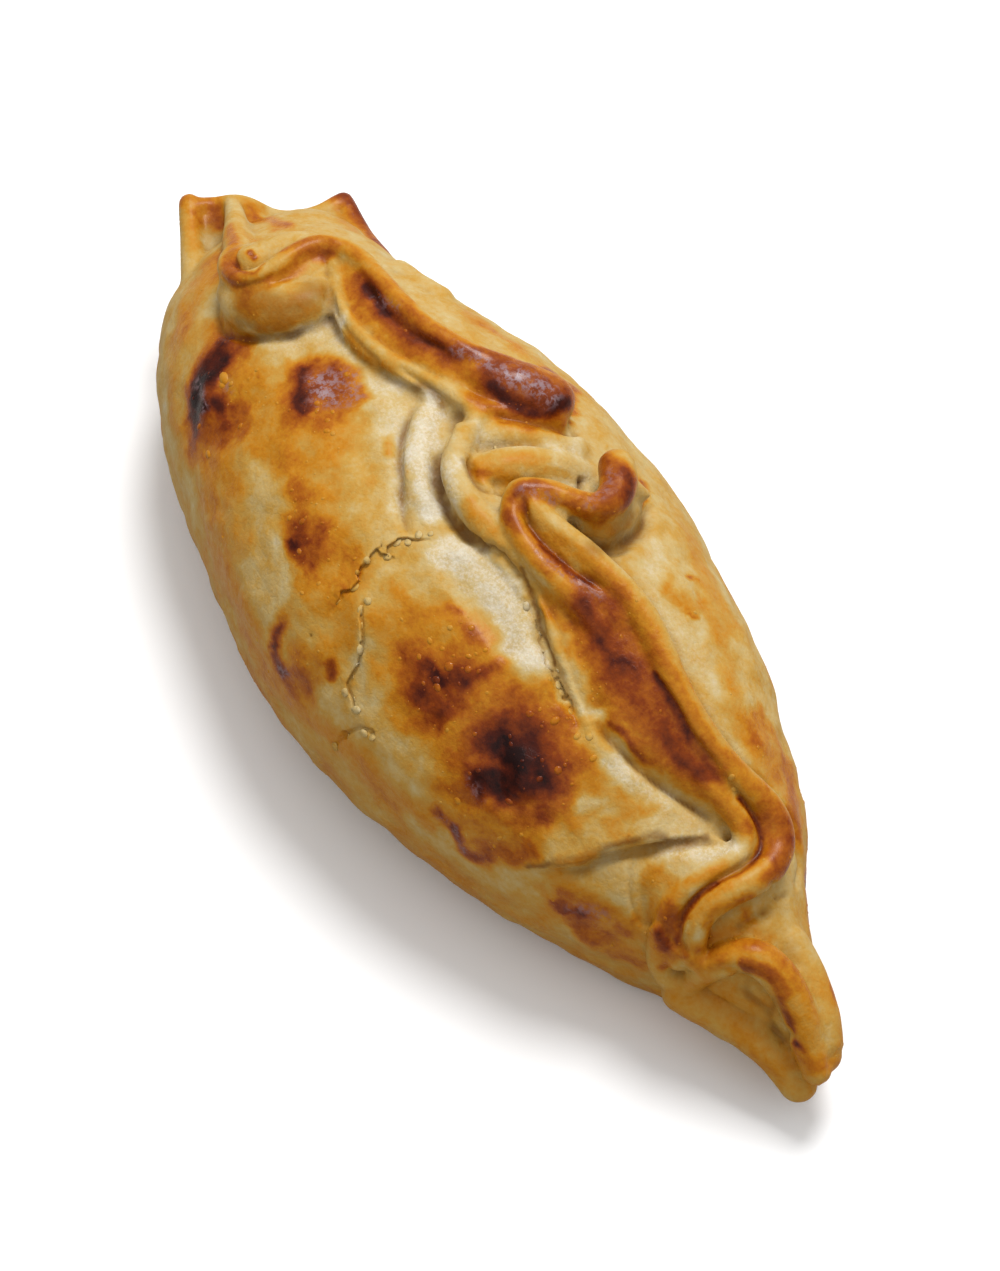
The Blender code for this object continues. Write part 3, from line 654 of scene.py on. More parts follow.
press(0.7, 0.9, (-11.6, 7.0), (-9.6, 9.8), (-7.4, 13.0), (-6.2, 16.0), (-7.2, 17.6))
press(0.7, 0.6, (8.6, -1.6), (13.6, -0.8), (18.0, -0.6), (24.5, -2.4), (28.6, -2.6))
press(0.7, 1.0, (28.6, -2.5), (32.6, -1.8), (36.8, 0.0), (40.8, 2.4), (44.2, 4.6))
press(0.8, 1.4, (7.0, 7.0), (9.4, 8.4), (10.6, 10.8), (10.0, 14.4), (7.8, 18.2), (4.8, 20.6))
press(0.6, 0.9, (0.4, 13.4), (1.4, 12.6), (2.2, 12.0))
press(0.7, 0.8, (11.0, 9.0), (14.4, 10.0), (18.2, 11.0), (22.4, 11.4), (26.4, 11.0), (30.4, 10.4), (34.2, 10.2),
      (38.2, 11.0), (42.0, 12.8), (46.2, 14.6), (50.4, 13.8), (53.4, 10.8))
press(0.8, 0.8, (55.0, 6.4), (54.9, 3.4), (55.0, 1.0))
print("creases pressed")

# %% Grooves between rolled layers
press(0.42, 0.7, (3.0, 3.3), (4.9, 2.4), (7.7, 2.4), (10.4, 3.0), (13.3, 3.9), (15.5, 4.9), (17.4, 5.8))
press(0.5, 0.5, (28.2, 5.8), (30.9, 5.9), (33.2, 6.0), (35.9, 6.0), (38.6, 6.5), (41.5, 7.3))
press(0.4, 0.5, (41.5, 7.3), (44.0, 8.1), (46.2, 8.8), (48.3, 8.7), (49.9, 7.7), (50.8, 5.2), (50.9, 2.0),
      (50.9, -1.0), (51.1, -3.4), (51.9, -5.0), (53.2, -5.4), (54.6, -5.2))
press(0.45, 0.5, (54.0, 9.6), (54.2, 6.0))
press(0.35, 0.3, (42.6, -5.2), (43.8, -6.8), (46.0, -7.8), (49.0, -7.4))
press(0.55, 0.4, (57.0, -4.4), (58.4, -2.6), (60.0, -0.8), (62.2, 0.4), (65.0, 1.1), (67.4, 1.3), (69.4, 1.2))
press(0.45, 0.4, (-38.0, 4.4), (-33.0, 4.2), (-28.6, 4.6), (-24.6, 5.8), (-21.4, 7.2))
press(0.3, 0.45, (-52.6, -4.4), (-52.4, -5.8), (-51.2, -6.9), (-49.6, -7.0), (-48.4, -6.2), (-48.0, -4.8))
press(0.35, 0.25, (-51.8, -9.0), (-49.6, -9.4), (-46.8, -8.6), (-45.2, -6.2), (-45.0, -3.6))
press(0.4, 0.25, (-42.0, 2.2), (-38.4, 1.6), (-34.6, 1.2), (-30.6, 1.3), (-26.6, 2.2), (-22.4, 3.6), (-18.6, 5.0))
print("grooves pressed")

# %% Overlaps, dents and swellings
ledge(0.9, 3.2, (35.0, -17.0), (38.2, -13.6), (39.8, -10.8), (40.6, -8.0), (41.8, -5.0), (43.8, -1.6), (45.4, 1.8),
      (47.0, 4.6), step=1.6)
press(0.6, 0.7, (47.4, 5.4), (46.4, 3.4), (45.2, 1.2), (43.9, -1.9), (42.4, -5.4), (41.2, -8.4), (40.4, -11.0),
      (38.8, -13.8))
ledge(-0.5, 2.0, (44.4, -4.6), (45.4, -6.4), (47.6, -7.4), (50.2, -7.0), (53.4, -5.8), (56.0, -4.4), step=1.6)
swell(3.0, 0.7, (27.5, -12.0), (29.5, -13.0))
swell(2.4, 0.5, (-40.0, -17.0), (-38.0, -19.0))
swell(2.2, 0.4, (-28.0, -8.0))
swell(3.6, 0.8, (44.0, -12.5))
swell(2.6, 0.9, (-45.0, 14.0), (-38.0, 15.8))
swell(2.6, -0.5, (4.0, -8.0), (10.0, -7.0), (16.0, -7.0))
swell(0.55, -0.45, (-50.0, -4.9))
print("folds overlapped")

# %% [markdown]
# ## Torn skin
#
# On the side facing us the skin dried before the filling stopped swelling, and so it tore. A tear needs
# finer points than the rest of the crust. Only the faces beside it are subdivided, which costs far less
# than a finer crust. The browned skin on one side stands up as a thin, ragged edge.

# %% Tears
TEARS = (
    ((-0.6, -7.6), (-1.8, -9.3), (-2.9, -10.2), (-3.1, -11.7), (-2.6, -12.8), (-3.7, -13.8), (-3.1, -14.7),
     (-3.3, -15.8), (-2.2, -17.1), (-1.7, -18.2), (-2.2, -19.5), (-1.9, -20.4), (-1.5, -21.2)),
    ((0.3, -17.9), (1.7, -18.8), (3.1, -19.8), (4.1, -20.2), (5.0, -21.0), (5.7, -22.1), (5.7, -23.5), (6.9, -23.9),
     (8.5, -24.1), (9.3, -24.5)),
    ((13.4, -1.9), (16.2, -2.5), (18.5, -3.3), (20.5, -3.7), (22.3, -3.7), (24.4, -3.8), (26.4, -4.0)),
    ((8.6, -26.8), (9.4, -25.6), (10.2, -25.2), (11.2, -24.2), (13.0, -23.8)),
)
skin = skin_of(crust)
fine = [near(points_of(crust), normals_of(crust), trace(line), 1.3)[0] for line in TEARS]
only(crust)
bpy.ops.object.mode_set(mode="EDIT")
bpy.ops.mesh.select_mode(type="VERT")
bpy.ops.mesh.select_all(action="DESELECT")
bpy.ops.object.mode_set(mode="OBJECT")
for number in np.concatenate(fine):
    crust.data.vertices[int(number)].select = True
bpy.ops.object.mode_set(mode="EDIT")
bpy.ops.mesh.subdivide(number_cuts=2)
bpy.ops.object.mode_set(mode="OBJECT")

skin = skin_of(crust)
ledge(0.38, 1.1, *TEARS[0][::-1], ragged=0.6)
ledge(0.25, 0.9, *TEARS[1][::-1], ragged=0.6)
for line, width, depth in zip(TEARS, (0.17, 0.18, 0.15, 0.28), (0.45, 0.5, 0.4, 0.45)):
    press(width, depth, *line, ragged=0.6)
for x, y, radius, depth in ((22.0, -3.7, 0.45, 0.5), (24.2, -3.8, 0.55, 0.7), (25.6, -3.9, 0.3, 0.4), (9.0, -26.0, 0.9, 0.4),
                            (12.2, -23.9, 0.6, 0.35), (4.3, -20.4, 0.4, 0.5), (-1.6, -24.3, 0.35, 0.4)):
    swell(radius, -depth, (x, y))
print("torn crust:", len(crust.data.vertices), "points")

# %% [markdown]
# ## Spend the faces where they show
#
# The voxel skin has as many faces on the plain underside as on the curl. A Decimate modifier merges
# faces where the surface is nearly flat and keeps them where it bends, which keeps every fold crisp
# while the mesh stays light.

# %% Lighten the mesh
MOST_TRIANGLES = 190_000
crust.data.calc_loop_triangles()
apply(crust, "DECIMATE", ratio=MOST_TRIANGLES / len(crust.data.loop_triangles))
only(crust)
bpy.ops.object.shade_smooth()
crust.data.calc_loop_triangles()
print("light crust:", len(crust.data.loop_triangles), "triangles")

# %% [markdown]
# ## Bake it
#
# In the oven the egg-washed dough browns in patches: most where it stands up towards the heat and
# low down where the tray bakes it, hardly at all in the creases. The extra browning low on the flanks
# also stands in for painted shade. One number for each point, its **toast**, says how far the browning
# has gone: 0 is floury white, 0.45 golden, 0.75 brown and 1 burnt black. It is painted with soft dabs
# along lines, just as a painter blocks in the large tones first and the small dark ones last. A few dabs
# are painted shade in grooves and under a lip, and painted highlight on crests. The edge of every dab
# is broken up by noise, so none looks round.

# %% Before the brush
def cloud(points, size, seed):
    """One smooth random vector for each point, from noise lumps about size millimetres wide."""
    shift = Vector((seed, 2 * seed, 3 * seed))
    return np.array([noise.noise_vector(Vector(point) / size + shift) for point in points])


def smooth(t):
    """0 to 1 with a soft start and end."""
    t = np.clip(t, 0, 1)
    return t * t * (3 - 2 * t)


skin = skin_of(crust)
spots, outward = points_of(crust), normals_of(crust)
broad = cloud(spots, 9.0, 1.0)
small = cloud(spots, 2.6, 5.0)
tiny = cloud(spots, 1.1, 9.0)
wander = 1.2 * broad + 1.3 * small + 0.5 * tiny
lift = spots[:, 2] - crust_top(spots[:, 0], spots[:, 1])
wander *= (1 - 0.55 * smooth((lift - 0.8) / 1.6))[:, None]
middle, half, _, level, _ = rib(spots[:, 0])
toast = 0.23 + 0.10 * broad[:, 2] + 0.05 * small[:, 2]
unseen = smooth(((spots[:, 1] - middle) / half - 0.93) / 0.07)
toast += unseen * 0.45 * smooth((broad[:, 0] + 0.05) / 0.45)
# Browner towards the table: the tray browns the underside, and on the lower flanks this also stands in for painted
# shade.
toast += 0.16 * smooth((24.0 - spots[:, 2]) / 14.0) * (0.8 + 0.6 * broad[:, 1])
print("before the brush: toast", round(float(toast.min()), 2), "to", round(float(toast.max()), 2))


# %% The dab
HALO = 0.56  # the amber ring round every dark patch


def dab(tone, radius, *line, on=None):
    """Brings the toast to tone within about radius of a line of (x, y), and rings dark dabs with amber."""
    layer = toast if on is None else on
    painted = spots + min(radius / 1.6, 1) * wander
    chosen, gap, _, _ = near(painted, outward, trace(line), 2.2 * radius)
    if tone > 0.6 and on is None:
        ring = 1 - smooth((gap / radius - 0.7) / 1.3)
        layer[chosen] = np.maximum(layer[chosen], layer[chosen] + ring * (HALO - layer[chosen]))
    cover = 1 - smooth((gap / radius - 0.2) / 1.1)
    layer[chosen] += cover * (tone - layer[chosen])


# %% [markdown]
# ## The large and the small tones
#
# Each dab is (tone, radius, and the line it follows). They go from the tail to the tip.

# %% Dabs
# the near side by the tail
dab(0.44, 4.0, (-59, -6.5), (-57, -9.5), (-55, -12.5), (-52, -16))
dab(0.36, 3.0, (-49, -18.5), (-44.5, -21), (-38.5, -22.5))
dab(0.24, 2.6, (-47, -10.5), (-49.5, -11.5))
dab(0.42, 2.4, (-48.5, -13), (-45, -12))
dab(0.14, 3.0, (-40, -9.5), (-38, -6.5), (-36.5, -1), (-31, -1.5))
dab(0.18, 2.2, (-38, -11.5), (-35, -8.5))
dab(0.13, 2.6, (-24.5, -1.5), (-18, -2.5), (-13, -6.5), (-8, -9.5))
dab(0.44, 4.0, (-43.5, -13), (-38, -13), (-34, -14.5), (-30, -16.5), (-25, -17.5))
dab(0.42, 4.0, (-35.5, -22), (-30, -22), (-25.5, -21))
dab(0.46, 2.2, (-34.5, -21.5), (-29, -23.5), (-24.5, -25))
dab(0.52, 1.2, (-28, -23.5), (-23.5, -25), (-20, -26))
dab(0.46, 3.4, (-30.5, -12), (-25, -14.5), (-20, -15.5), (-15, -17))
dab(0.47, 3.0, (-22.5, -10.5), (-19.5, -9.5), (-21, -8))
dab(0.56, 1.8, (-19, -16.5), (-15.5, -17))
dab(0.40, 3.4, (-23.5, -24.5), (-19, -24.5))
dab(0.24, 2.2, (-25.5, -19.5), (-21, -20.5), (-17.5, -21.5))
dab(0.22, 2.6, (-14.5, -24), (-10, -25), (-8, -24.5))
dab(0.40, 2.8, (-18.5, -12.5), (-12.5, -14), (-9.5, -16))
dab(0.30, 2.6, (-18.5, -8), (-14, -9), (-9, -12.5))
dab(0.69, 3.6, (-42, -15.5), (-39, -18.5), (-35.5, -19.5))
dab(0.84, 2.4, (-43, -13), (-42, -17), (-40.5, -19), (-37.5, -21))
dab(1.00, 1.6, (-42.5, -14), (-41.5, -17), (-41, -18.5), (-38, -19.5), (-39, -20.5))
dab(0.74, 2.0, (-37, -17), (-35, -17), (-33, -18.5))
dab(0.88, 1.0, (-38, -17.5), (-36, -17.5))
dab(0.42, 1.2, (-39, -15.5), (-38, -15))
dab(0.60, 1.6, (-34.5, -16), (-31.5, -17.5), (-33, -20.5))
dab(0.56, 3.8, (-31.5, -8.5), (-27, -9.5))
dab(0.46, 2.4, (-28.5, -3.5), (-25, -5), (-23, -7))
dab(0.74, 2.4, (-31.5, -8), (-28.5, -9.5))
dab(0.62, 2.0, (-24.5, -8.5), (-25, -6.5))
dab(0.66, 2.4, (-29.5, -6), (-26, -6.5))
dab(0.86, 1.2, (-32, -8), (-29.5, -10), (-27, -10.5))
dab(0.52, 1.6, (-29, -3.5), (-25, -3.5), (-23, -6))
dab(0.58, 1.4, (-23.5, -9), (-23, -7))
# the near side, middle
dab(0.40, 4.0, (-21.5, -27), (-12.5, -28), (-7.5, -28.5), (-0.5, -28.5))
dab(0.50, 3.0, (-15, -19.5), (-12, -17), (-8.5, -18.5), (-7, -21))
dab(0.44, 3.2, (-9, -16.5), (-3.5, -18), (-3, -21), (-5.5, -23))
dab(0.50, 2.0, (-5.5, -16), (-4, -16.5), (-3.5, -19))
dab(0.74, 1.8, (-14.5, -19), (-12.5, -19.5), (-9.5, -19.5))
dab(0.98, 1.1, (-12.5, -20), (-10.5, -20.5), (-8, -20.5))
dab(0.62, 1.2, (-12, -17), (-10, -18.5))
dab(0.50, 1.2, (-10, -22.5), (-7, -23))
dab(0.36, 2.4, (-6.5, -25), (-4, -24.5))
dab(0.28, 2.2, (-1.5, -23.5), (1, -22.5))
dab(0.46, 2.4, (-1, -19), (1, -20.5), (3, -22))
dab(0.50, 2.2, (-2, -26), (1, -24.5), (1, -26))
dab(0.84, 1.1, (-6, -26), (-5.5, -27.5), (-4.5, -28), (-2.5, -28), (-0.5, -28), (1, -28))
dab(0.62, 1.8, (0, -27), (2, -27))
dab(0.74, 0.8, (3, -24), (3.5, -24.5))
dab(0.46, 2.0, (9.5, -21.5), (7, -20.5))
dab(0.47, 1.8, (1, -14.5), (2.5, -14.5))
dab(0.40, 2.6, (3.5, -17.5), (6, -18), (8, -18))
dab(0.26, 2.4, (10, -22.5), (12.5, -22.5), (12, -24.5))
dab(0.24, 2.6, (1.5, -9.5), (5.5, -8.5))
dab(0.34, 1.0, (2.5, -8), (4, -7.5))
dab(0.06, 3.2, (2, -6.5), (7, -5.5), (11, -5), (15.5, -6), (19.5, -6))
dab(0.47, 2.8, (5.5, -14.5), (8, -11.5), (10.5, -10), (13.5, -10), (10, -14))
dab(0.60, 0.8, (7.5, -10), (9, -9.5))
dab(0.62, 0.9, (11.5, -9.5), (12.5, -9.5))
dab(0.56, 2.6, (9.5, -17), (12.5, -18.5), (13.5, -20.5), (18, -17.5), (18, -13), (17.5, -10))
dab(0.70, 3.0, (11, -16), (14, -15), (15.5, -13), (15, -17))
dab(0.86, 1.5, (11.5, -15.5), (13.5, -14.5), (15, -13.5))
dab(0.96, 0.9, (12.5, -15), (15, -15))
dab(0.70, 1.3, (15.5, -12), (17, -10.5))
dab(0.74, 1.7, (14, -18), (16, -17.5), (16, -16))
dab(0.80, 0.9, (13, -17.5), (14.5, -18))
dab(0.28, 2.8, (15, -23.5), (18, -22.5), (21, -21.5))
dab(0.40, 1.8, (18, -21.5), (18.5, -19))
dab(0.42, 2.4, (12.5, -26), (19, -24), (24, -22.5))
# the near side by the tip
dab(0.46, 3.6, (20.5, -12), (23.5, -7.5), (27.5, -5), (31.5, -5), (34, -6.5))
dab(0.42, 2.4, (19.5, -17), (22, -19))
dab(0.57, 3.4, (23, -16), (25, -18), (29.5, -16), (32.5, -11.5), (31.5, -8.5), (28, -7.5), (24.5, -9.5))
dab(0.67, 5.0, (24, -13.5), (27.5, -10), (30.5, -10.5), (30, -14), (26.5, -16.5))
dab(0.82, 3.4, (24, -12.5), (27.5, -10), (30.5, -10.5), (30, -14), (26.5, -16))
dab(1.00, 2.0, (25, -13), (27.5, -11.5), (28, -13.5), (26, -16))
dab(0.92, 1.6, (28, -10), (30.5, -10.5), (29.5, -13.5))
dab(0.88, 0.8, (23, -11), (24, -12))
dab(0.74, 0.7, (22, -12.5), (23.5, -13))
dab(0.70, 1.2, (33, -13), (34.5, -12))
dab(0.48, 2.0, (28, -18), (31, -16.5))
dab(0.42, 3.0, (35, -5.5), (37.5, -4), (39.5, -3), (40, -5))
dab(0.18, 1.3, (35.5, -8), (35.5, -7))
dab(0.12, 2.2, (34, -3), (36, -1.5), (39.5, 0))
dab(0.15, 1.6, (41, -3.5), (42.5, -0.5), (44, 3))
dab(0.48, 1.6, (26, -20), (28.5, -18.5))
dab(0.76, 0.9, (24, -21.5), (26, -21), (28.5, -20.5), (30.5, -19.5))
dab(0.64, 1.8, (30.5, -19), (32, -17.5), (34.5, -16))
dab(0.50, 2.0, (32, -16.5), (34.5, -14.5))
dab(0.30, 1.8, (37, -12), (38.5, -9))
dab(0.14, 2.2, (20, 0.5), (24, -1.5), (27, -2))
dab(0.24, 1.4, (29, -3.5), (31.5, -3.5))
# the second fold
dab(0.03, 2.6, (-16.5, 2), (-12.5, -1.5), (-8, -4), (-4, -5.5))
dab(0.10, 1.4, (-15.5, -3), (-11.5, -5.5), (-6.5, -8))
dab(0.40, 1.2, (-15.5, -4.5), (-14, -5.5))
dab(0.14, 2.4, (-9.5, 5.5), (-7, 9), (-5, 13))
dab(0.28, 1.3, (-10, 3.5), (-8, 1))
dab(0.12, 1.9, (-6.5, -1), (-3.5, -3), (-1, -3))
dab(0.20, 0.9, (-4.5, -1), (-2, -1.5), (0, -0.5))
dab(0.40, 1.6, (0, -2.5), (3.5, -2), (7, -1))
dab(0.30, 1.8, (6, -2), (9.5, -1))
dab(0.36, 1.8, (-6, 2), (-5, 4.5), (-3, 9.5))
dab(0.44, 1.6, (-4, 2), (-2.5, 4.5))
dab(0.56, 0.8, (-5, 1.5), (-4, 2.5))
dab(0.22, 1.6, (-1.5, 12), (0, 13))
dab(0.28, 1.8, (11, -1), (15, -1), (19, -1.5))
dab(0.20, 1.6, (21, -2.5), (24.5, -2.5))
dab(0.46, 1.6, (14.5, 0), (17.5, 0))
# the first fold
dab(0.36, 1.5, (-59, -1), (-50.5, 1))
dab(0.42, 1.0, (-53, -7), (-50, -9))
dab(0.58, 1.5, (-53, -6.5), (-51, -8), (-47.5, -8.5), (-46, -7.5), (-45, -5.5), (-45, -3), (-45.5, -1),
    (-46, 1.5), (-44.5, 3.5))
dab(0.26, 1.5, (-50.5, -5.5), (-49.5, -5.5))
dab(0.60, 0.5, (-51, -7), (-48.5, -7.5), (-46.5, -6.5), (-47, -5))
dab(0.62, 0.4, (-50.5, -5), (-49.5, -5))
dab(0.54, 1.0, (-47.5, -1.5), (-47.5, 1), (-46, 4), (-43, 5.5))
dab(0.36, 2.6, (-44, -8.5), (-40, -5), (-40, -1))
dab(0.46, 1.4, (-46, -9), (-43, -9.5))
dab(0.50, 0.8, (-45.5, -8), (-44, -5.5), (-44.5, -1.5))
dab(0.30, 1.2, (-42.5, -3.5), (-42, -1.5))
dab(0.42, 1.4, (-41, -9), (-38.5, -6), (-38, -2.5))
dab(0.47, 2.0, (-41.5, 3.5), (-37.5, 2.5), (-33, 2))
dab(0.50, 2.0, (-29, 2.5), (-25, 4), (-21.5, 6), (-18, 7.5))
dab(0.24, 1.0, (-43, 3), (-39.5, 1.5), (-35.5, 0.5))
dab(0.31, 1.2, (-32.5, -0.5), (-28.5, 0), (-24, 1), (-20, 3))
# Painted shade along the underside of the lip.
dab(0.40, 1.0, (-33, -1), (-28.5, -0.5), (-24, 0.5))
dab(0.72, 1.7, (-38, 4.5), (-34.5, 4.5), (-31, 4.5), (-27.5, 5), (-24, 6.5), (-21, 7.5))
dab(0.92, 0.9, (-37, 4.5), (-34, 4.5), (-31.5, 4.5))
dab(0.50, 1.0, (-44, 5.5), (-39.5, 6), (-34.5, 6), (-31, 6))
dab(0.56, 1.0, (-31, 6), (-26.5, 7), (-23, 8))
dab(0.44, 0.9, (-39.5, 6.5), (-35, 7), (-30.5, 7))
dab(0.70, 1.4, (-21, 8), (-18.5, 9.5), (-16.5, 10.5))
dab(0.52, 1.6, (-18, 7.5), (-15.5, 8), (-14.5, 7))
dab(0.62, 1.3, (-18, 11), (-15, 13.5), (-19, 20.5))
dab(0.72, 3.4, (-14, 10.5), (-11, 12.5), (-9.5, 15.5))
dab(0.88, 1.3, (-14, 9), (-11, 10.5), (-8.5, 13.5), (-8.5, 16.5))
dab(0.58, 0.9, (-16, 22), (-8.5, 17.5))
dab(0.54, 1.2, (-13, 7.5), (-11, 8.5), (-8.5, 11), (-7, 14.5))
dab(0.42, 2.2, (-31.5, 16), (-28, 18.5), (-22, 20))
dab(0.20, 2.2, (-35.5, 13), (-29.5, 13))
# the tail
dab(0.24, 3.0, (-51, 1), (-57, 8.5))
dab(0.34, 1.6, (-70.5, 3.5), (-69, 6))
dab(0.50, 2.6, (-74.5, -2.5), (-72.5, 0), (-71, -3))
dab(0.34, 1.4, (-71.5, -4), (-67, -5.5))
dab(0.42, 1.3, (-70, -3.5), (-67, -4.5))
dab(0.66, 0.9, (-71.5, 0), (-69, -0.5))
dab(0.52, 1.4, (-63, -2), (-53, -6))
# Painted highlight along the crest of the rib.
dab(0.28, 0.9, (-63.5, -0.5), (-58.5, -2))
dab(0.56, 1.7, (-68, 4), (-63.5, 3.5), (-59.5, 3.5))
dab(0.40, 2.0, (-65, 16), (-56.5, 12.5))
dab(0.26, 1.6, (-63, 6.5), (-66.5, 14))
dab(0.46, 2.2, (-61.5, -6), (-57, -7))
# the third fold
dab(0.47, 1.2, (2, 1.5), (4.5, 0.5), (8, 0), (12, 0.5), (15.5, 1.5))
dab(0.64, 1.0, (4, 0.5), (5.5, 0.5))
dab(0.50, 1.2, (2, 3.5), (3.5, 5), (5, 6.5))
dab(0.36, 0.9, (0.5, 4), (-1, 8.5), (0.5, 11.5))
# Painted shade in the groove between the two rolls.
dab(0.80, 0.8, (3.5, 3), (5.5, 2), (8.5, 2), (11, 2.5), (14, 3.5), (16.5, 5), (18, 5.5))
# The left roll's lit edge, which the painted sheen dabbed there turns into a painted highlight.
dab(0.56, 0.6, (6, 1), (10, 1), (13, 2), (15.5, 3.5), (18, 5))
dab(0.42, 1.9, (6, 3), (9.5, 4), (13, 5.5), (16, 6.5), (19.5, 7.5))
# Painted highlight along the top of the right roll.
dab(0.34, 0.6, (10.5, 5.5), (12.5, 6.5), (14.5, 7))
dab(0.28, 0.7, (5.5, 4.5), (8.5, 5), (11.5, 6.5))
dab(0.52, 1.8, (2.5, 3), (3, 6), (6, 8.5), (8, 10), (8, 13))
dab(0.60, 0.9, (2, 3.5), (2.5, 5.5), (4.5, 7))
dab(0.60, 1.0, (6, 7.5), (8.5, 9.5), (9, 12))
dab(0.66, 0.6, (2.5, 2), (2.5, 3), (2.5, 4.5))
dab(0.36, 1.6, (8, 8), (9.5, 11), (9, 14.5))
dab(0.66, 2.2, (2, 16), (5.5, 15), (7.5, 12.5))
dab(0.78, 1.4, (4.5, 17), (6.5, 16.5), (8.5, 14.5))
dab(0.58, 1.1, (1.5, 21.5), (6, 18.5))
dab(0.46, 1.3, (16.5, 1), (19, 1), (22.5, 0), (25.5, -1))
dab(0.67, 3.2, (19, 4), (23, 3.5), (28, 3.5), (32, 4), (36.5, 5))
dab(0.72, 2.4, (18.5, 3), (20.5, 3), (23, 2.5), (26.5, 3), (30, 3.5), (34, 4.5), (37, 4.5), (40.5, 6))
dab(0.84, 0.7, (17.5, 3), (19, 3))
dab(0.82, 0.6, (21.5, 2.5), (24, 2.5), (26, 4))
dab(0.78, 0.7, (34.5, 3.5), (37, 3.5), (40, 5.5))
dab(0.60, 1.6, (27, -0.5), (30.5, 0.5), (34, 1), (36.5, 1.5))
dab(0.72, 0.6, (30, -1), (32.5, -0.5), (35, 0.5))
dab(0.50, 1.9, (22, 8), (25.5, 7.5), (30, 7.5), (34, 7.5), (38.5, 8), (42, 9.5), (45, 11))
dab(0.36, 0.6, (29, 8.5), (34, 8.5), (39, 9.5), (40, 12.5), (42.5, 14.5))
# Painted shade in the groove further along the fold.
dab(0.84, 0.6, (28.5, 6), (31.5, 6), (34, 6), (36.5, 6))
dab(0.46, 1.8, (40.5, 3.5), (43.5, 5.5), (46, 6))
dab(0.24, 3.0, (-5.5, 19.5), (5.5, 18.5))
dab(0.16, 3.0, (10.5, 17), (17.5, 14), (24.5, 13), (29.5, 13.5))
dab(0.28, 1.6, (12, 11), (19.5, 9.5))
dab(0.47, 2.2, (18.5, 15.5), (20, 16.5), (21, 18.5), (23, 18.5))
dab(0.56, 0.8, (17.5, 15.5), (19.5, 15))
dab(0.58, 0.6, (16.5, 19), (17, 20.5))
dab(0.58, 0.6, (18.5, 18.5), (19.5, 19), (21, 19))
dab(0.56, 0.6, (21, 15.5), (22, 16.5))
dab(0.32, 2.2, (13, 23), (22.5, 21.5))
dab(0.36, 1.8, (31.5, 16), (33.5, 15.5))
dab(0.48, 3.0, (34, 15.5), (37, 16), (41, 15.5))
dab(0.54, 1.2, (35.5, 16), (38.5, 15.5))
dab(0.50, 2.0, (36.5, 19), (40, 18.5))
dab(0.56, 2.4, (40.5, 18.5), (44, 16.5), (47, 15))
dab(0.50, 1.6, (34, 18), (37.5, 17.5))
dab(0.36, 2.6, (7, 24), (15, 22.5), (25, 18.5), (31.5, 16))
# the ledge's shade
dab(0.44, 3.0, (-30, -24.5), (-24.5, -26), (-16.5, -27.5), (-10.5, -28.5))
dab(0.46, 3.0, (-5, -29), (5, -27.5), (18, -24.5))
# the loop
dab(0.62, 1.7, (48, 10), (50.5, 9.5), (52.5, 6.5))
dab(0.60, 2.0, (46, 10.5), (48.5, 11.5), (51, 10.5), (52.5, 8))
dab(0.66, 1.1, (51, 11), (53, 9.5), (53.5, 7))
# Painted highlight along the crest of the outer loop.
dab(0.38, 0.9, (52, 7), (52.5, 3.5), (52, 0.5), (52, -2), (53, -4), (54, -5))
dab(0.52, 1.3, (54.5, 4), (54, 0.5), (54, -2), (54.5, -2))
# Painted shade in the groove between the loop's two layers.
dab(0.72, 0.5, (44.5, 8), (46.5, 8.5), (48.5, 8.5), (50, 7.5), (51.5, 4.5), (51, 0.5), (51, -2.5),
    (51.5, -4), (52.5, -5.5), (54.5, -5.5))
dab(0.54, 1.1, (47.5, 7), (49, 6))
dab(0.50, 1.2, (46, 6.5), (48.5, 6), (50, 3))
dab(0.09, 2.0, (45, -1.5), (47, 1.5), (49, 4.5))
dab(0.46, 1.1, (49.5, -2), (50, 0), (50.5, 3))
dab(0.52, 1.8, (49, -4), (49.5, -5.5), (49.5, -7))
dab(0.47, 1.5, (46, -5), (48, -4))
dab(0.44, 1.4, (46.5, -5.5), (49, -7.5), (51.5, -8))
dab(0.74, 1.0, (51, -7), (52, -7))
dab(0.62, 0.9, (50.5, -5), (51.5, -5.5))
dab(0.40, 1.0, (45.5, -7), (47.5, -8.5), (49, -8))
dab(0.46, 1.4, (44.5, -10), (46, -9.5), (47.5, -9))
dab(0.20, 2.2, (42, -8.5), (44, -8), (45.5, -8.5))
dab(0.43, 2.2, (40.5, -12.5), (43.5, -11))
dab(0.78, 1.7, (40.5, -14), (42.5, -13))
dab(0.64, 1.5, (42.5, -13.5), (45, -11.5))
dab(0.56, 2.6, (45, -12), (48.5, -9))
dab(0.55, 1.8, (43, -12), (46, -10))
dab(0.38, 1.8, (38.5, -14), (40, -9.5))
dab(0.52, 1.6, (40, -14), (42, -12.5))
dab(0.55, 1.3, (52.5, -7.5), (53.5, -5.5))
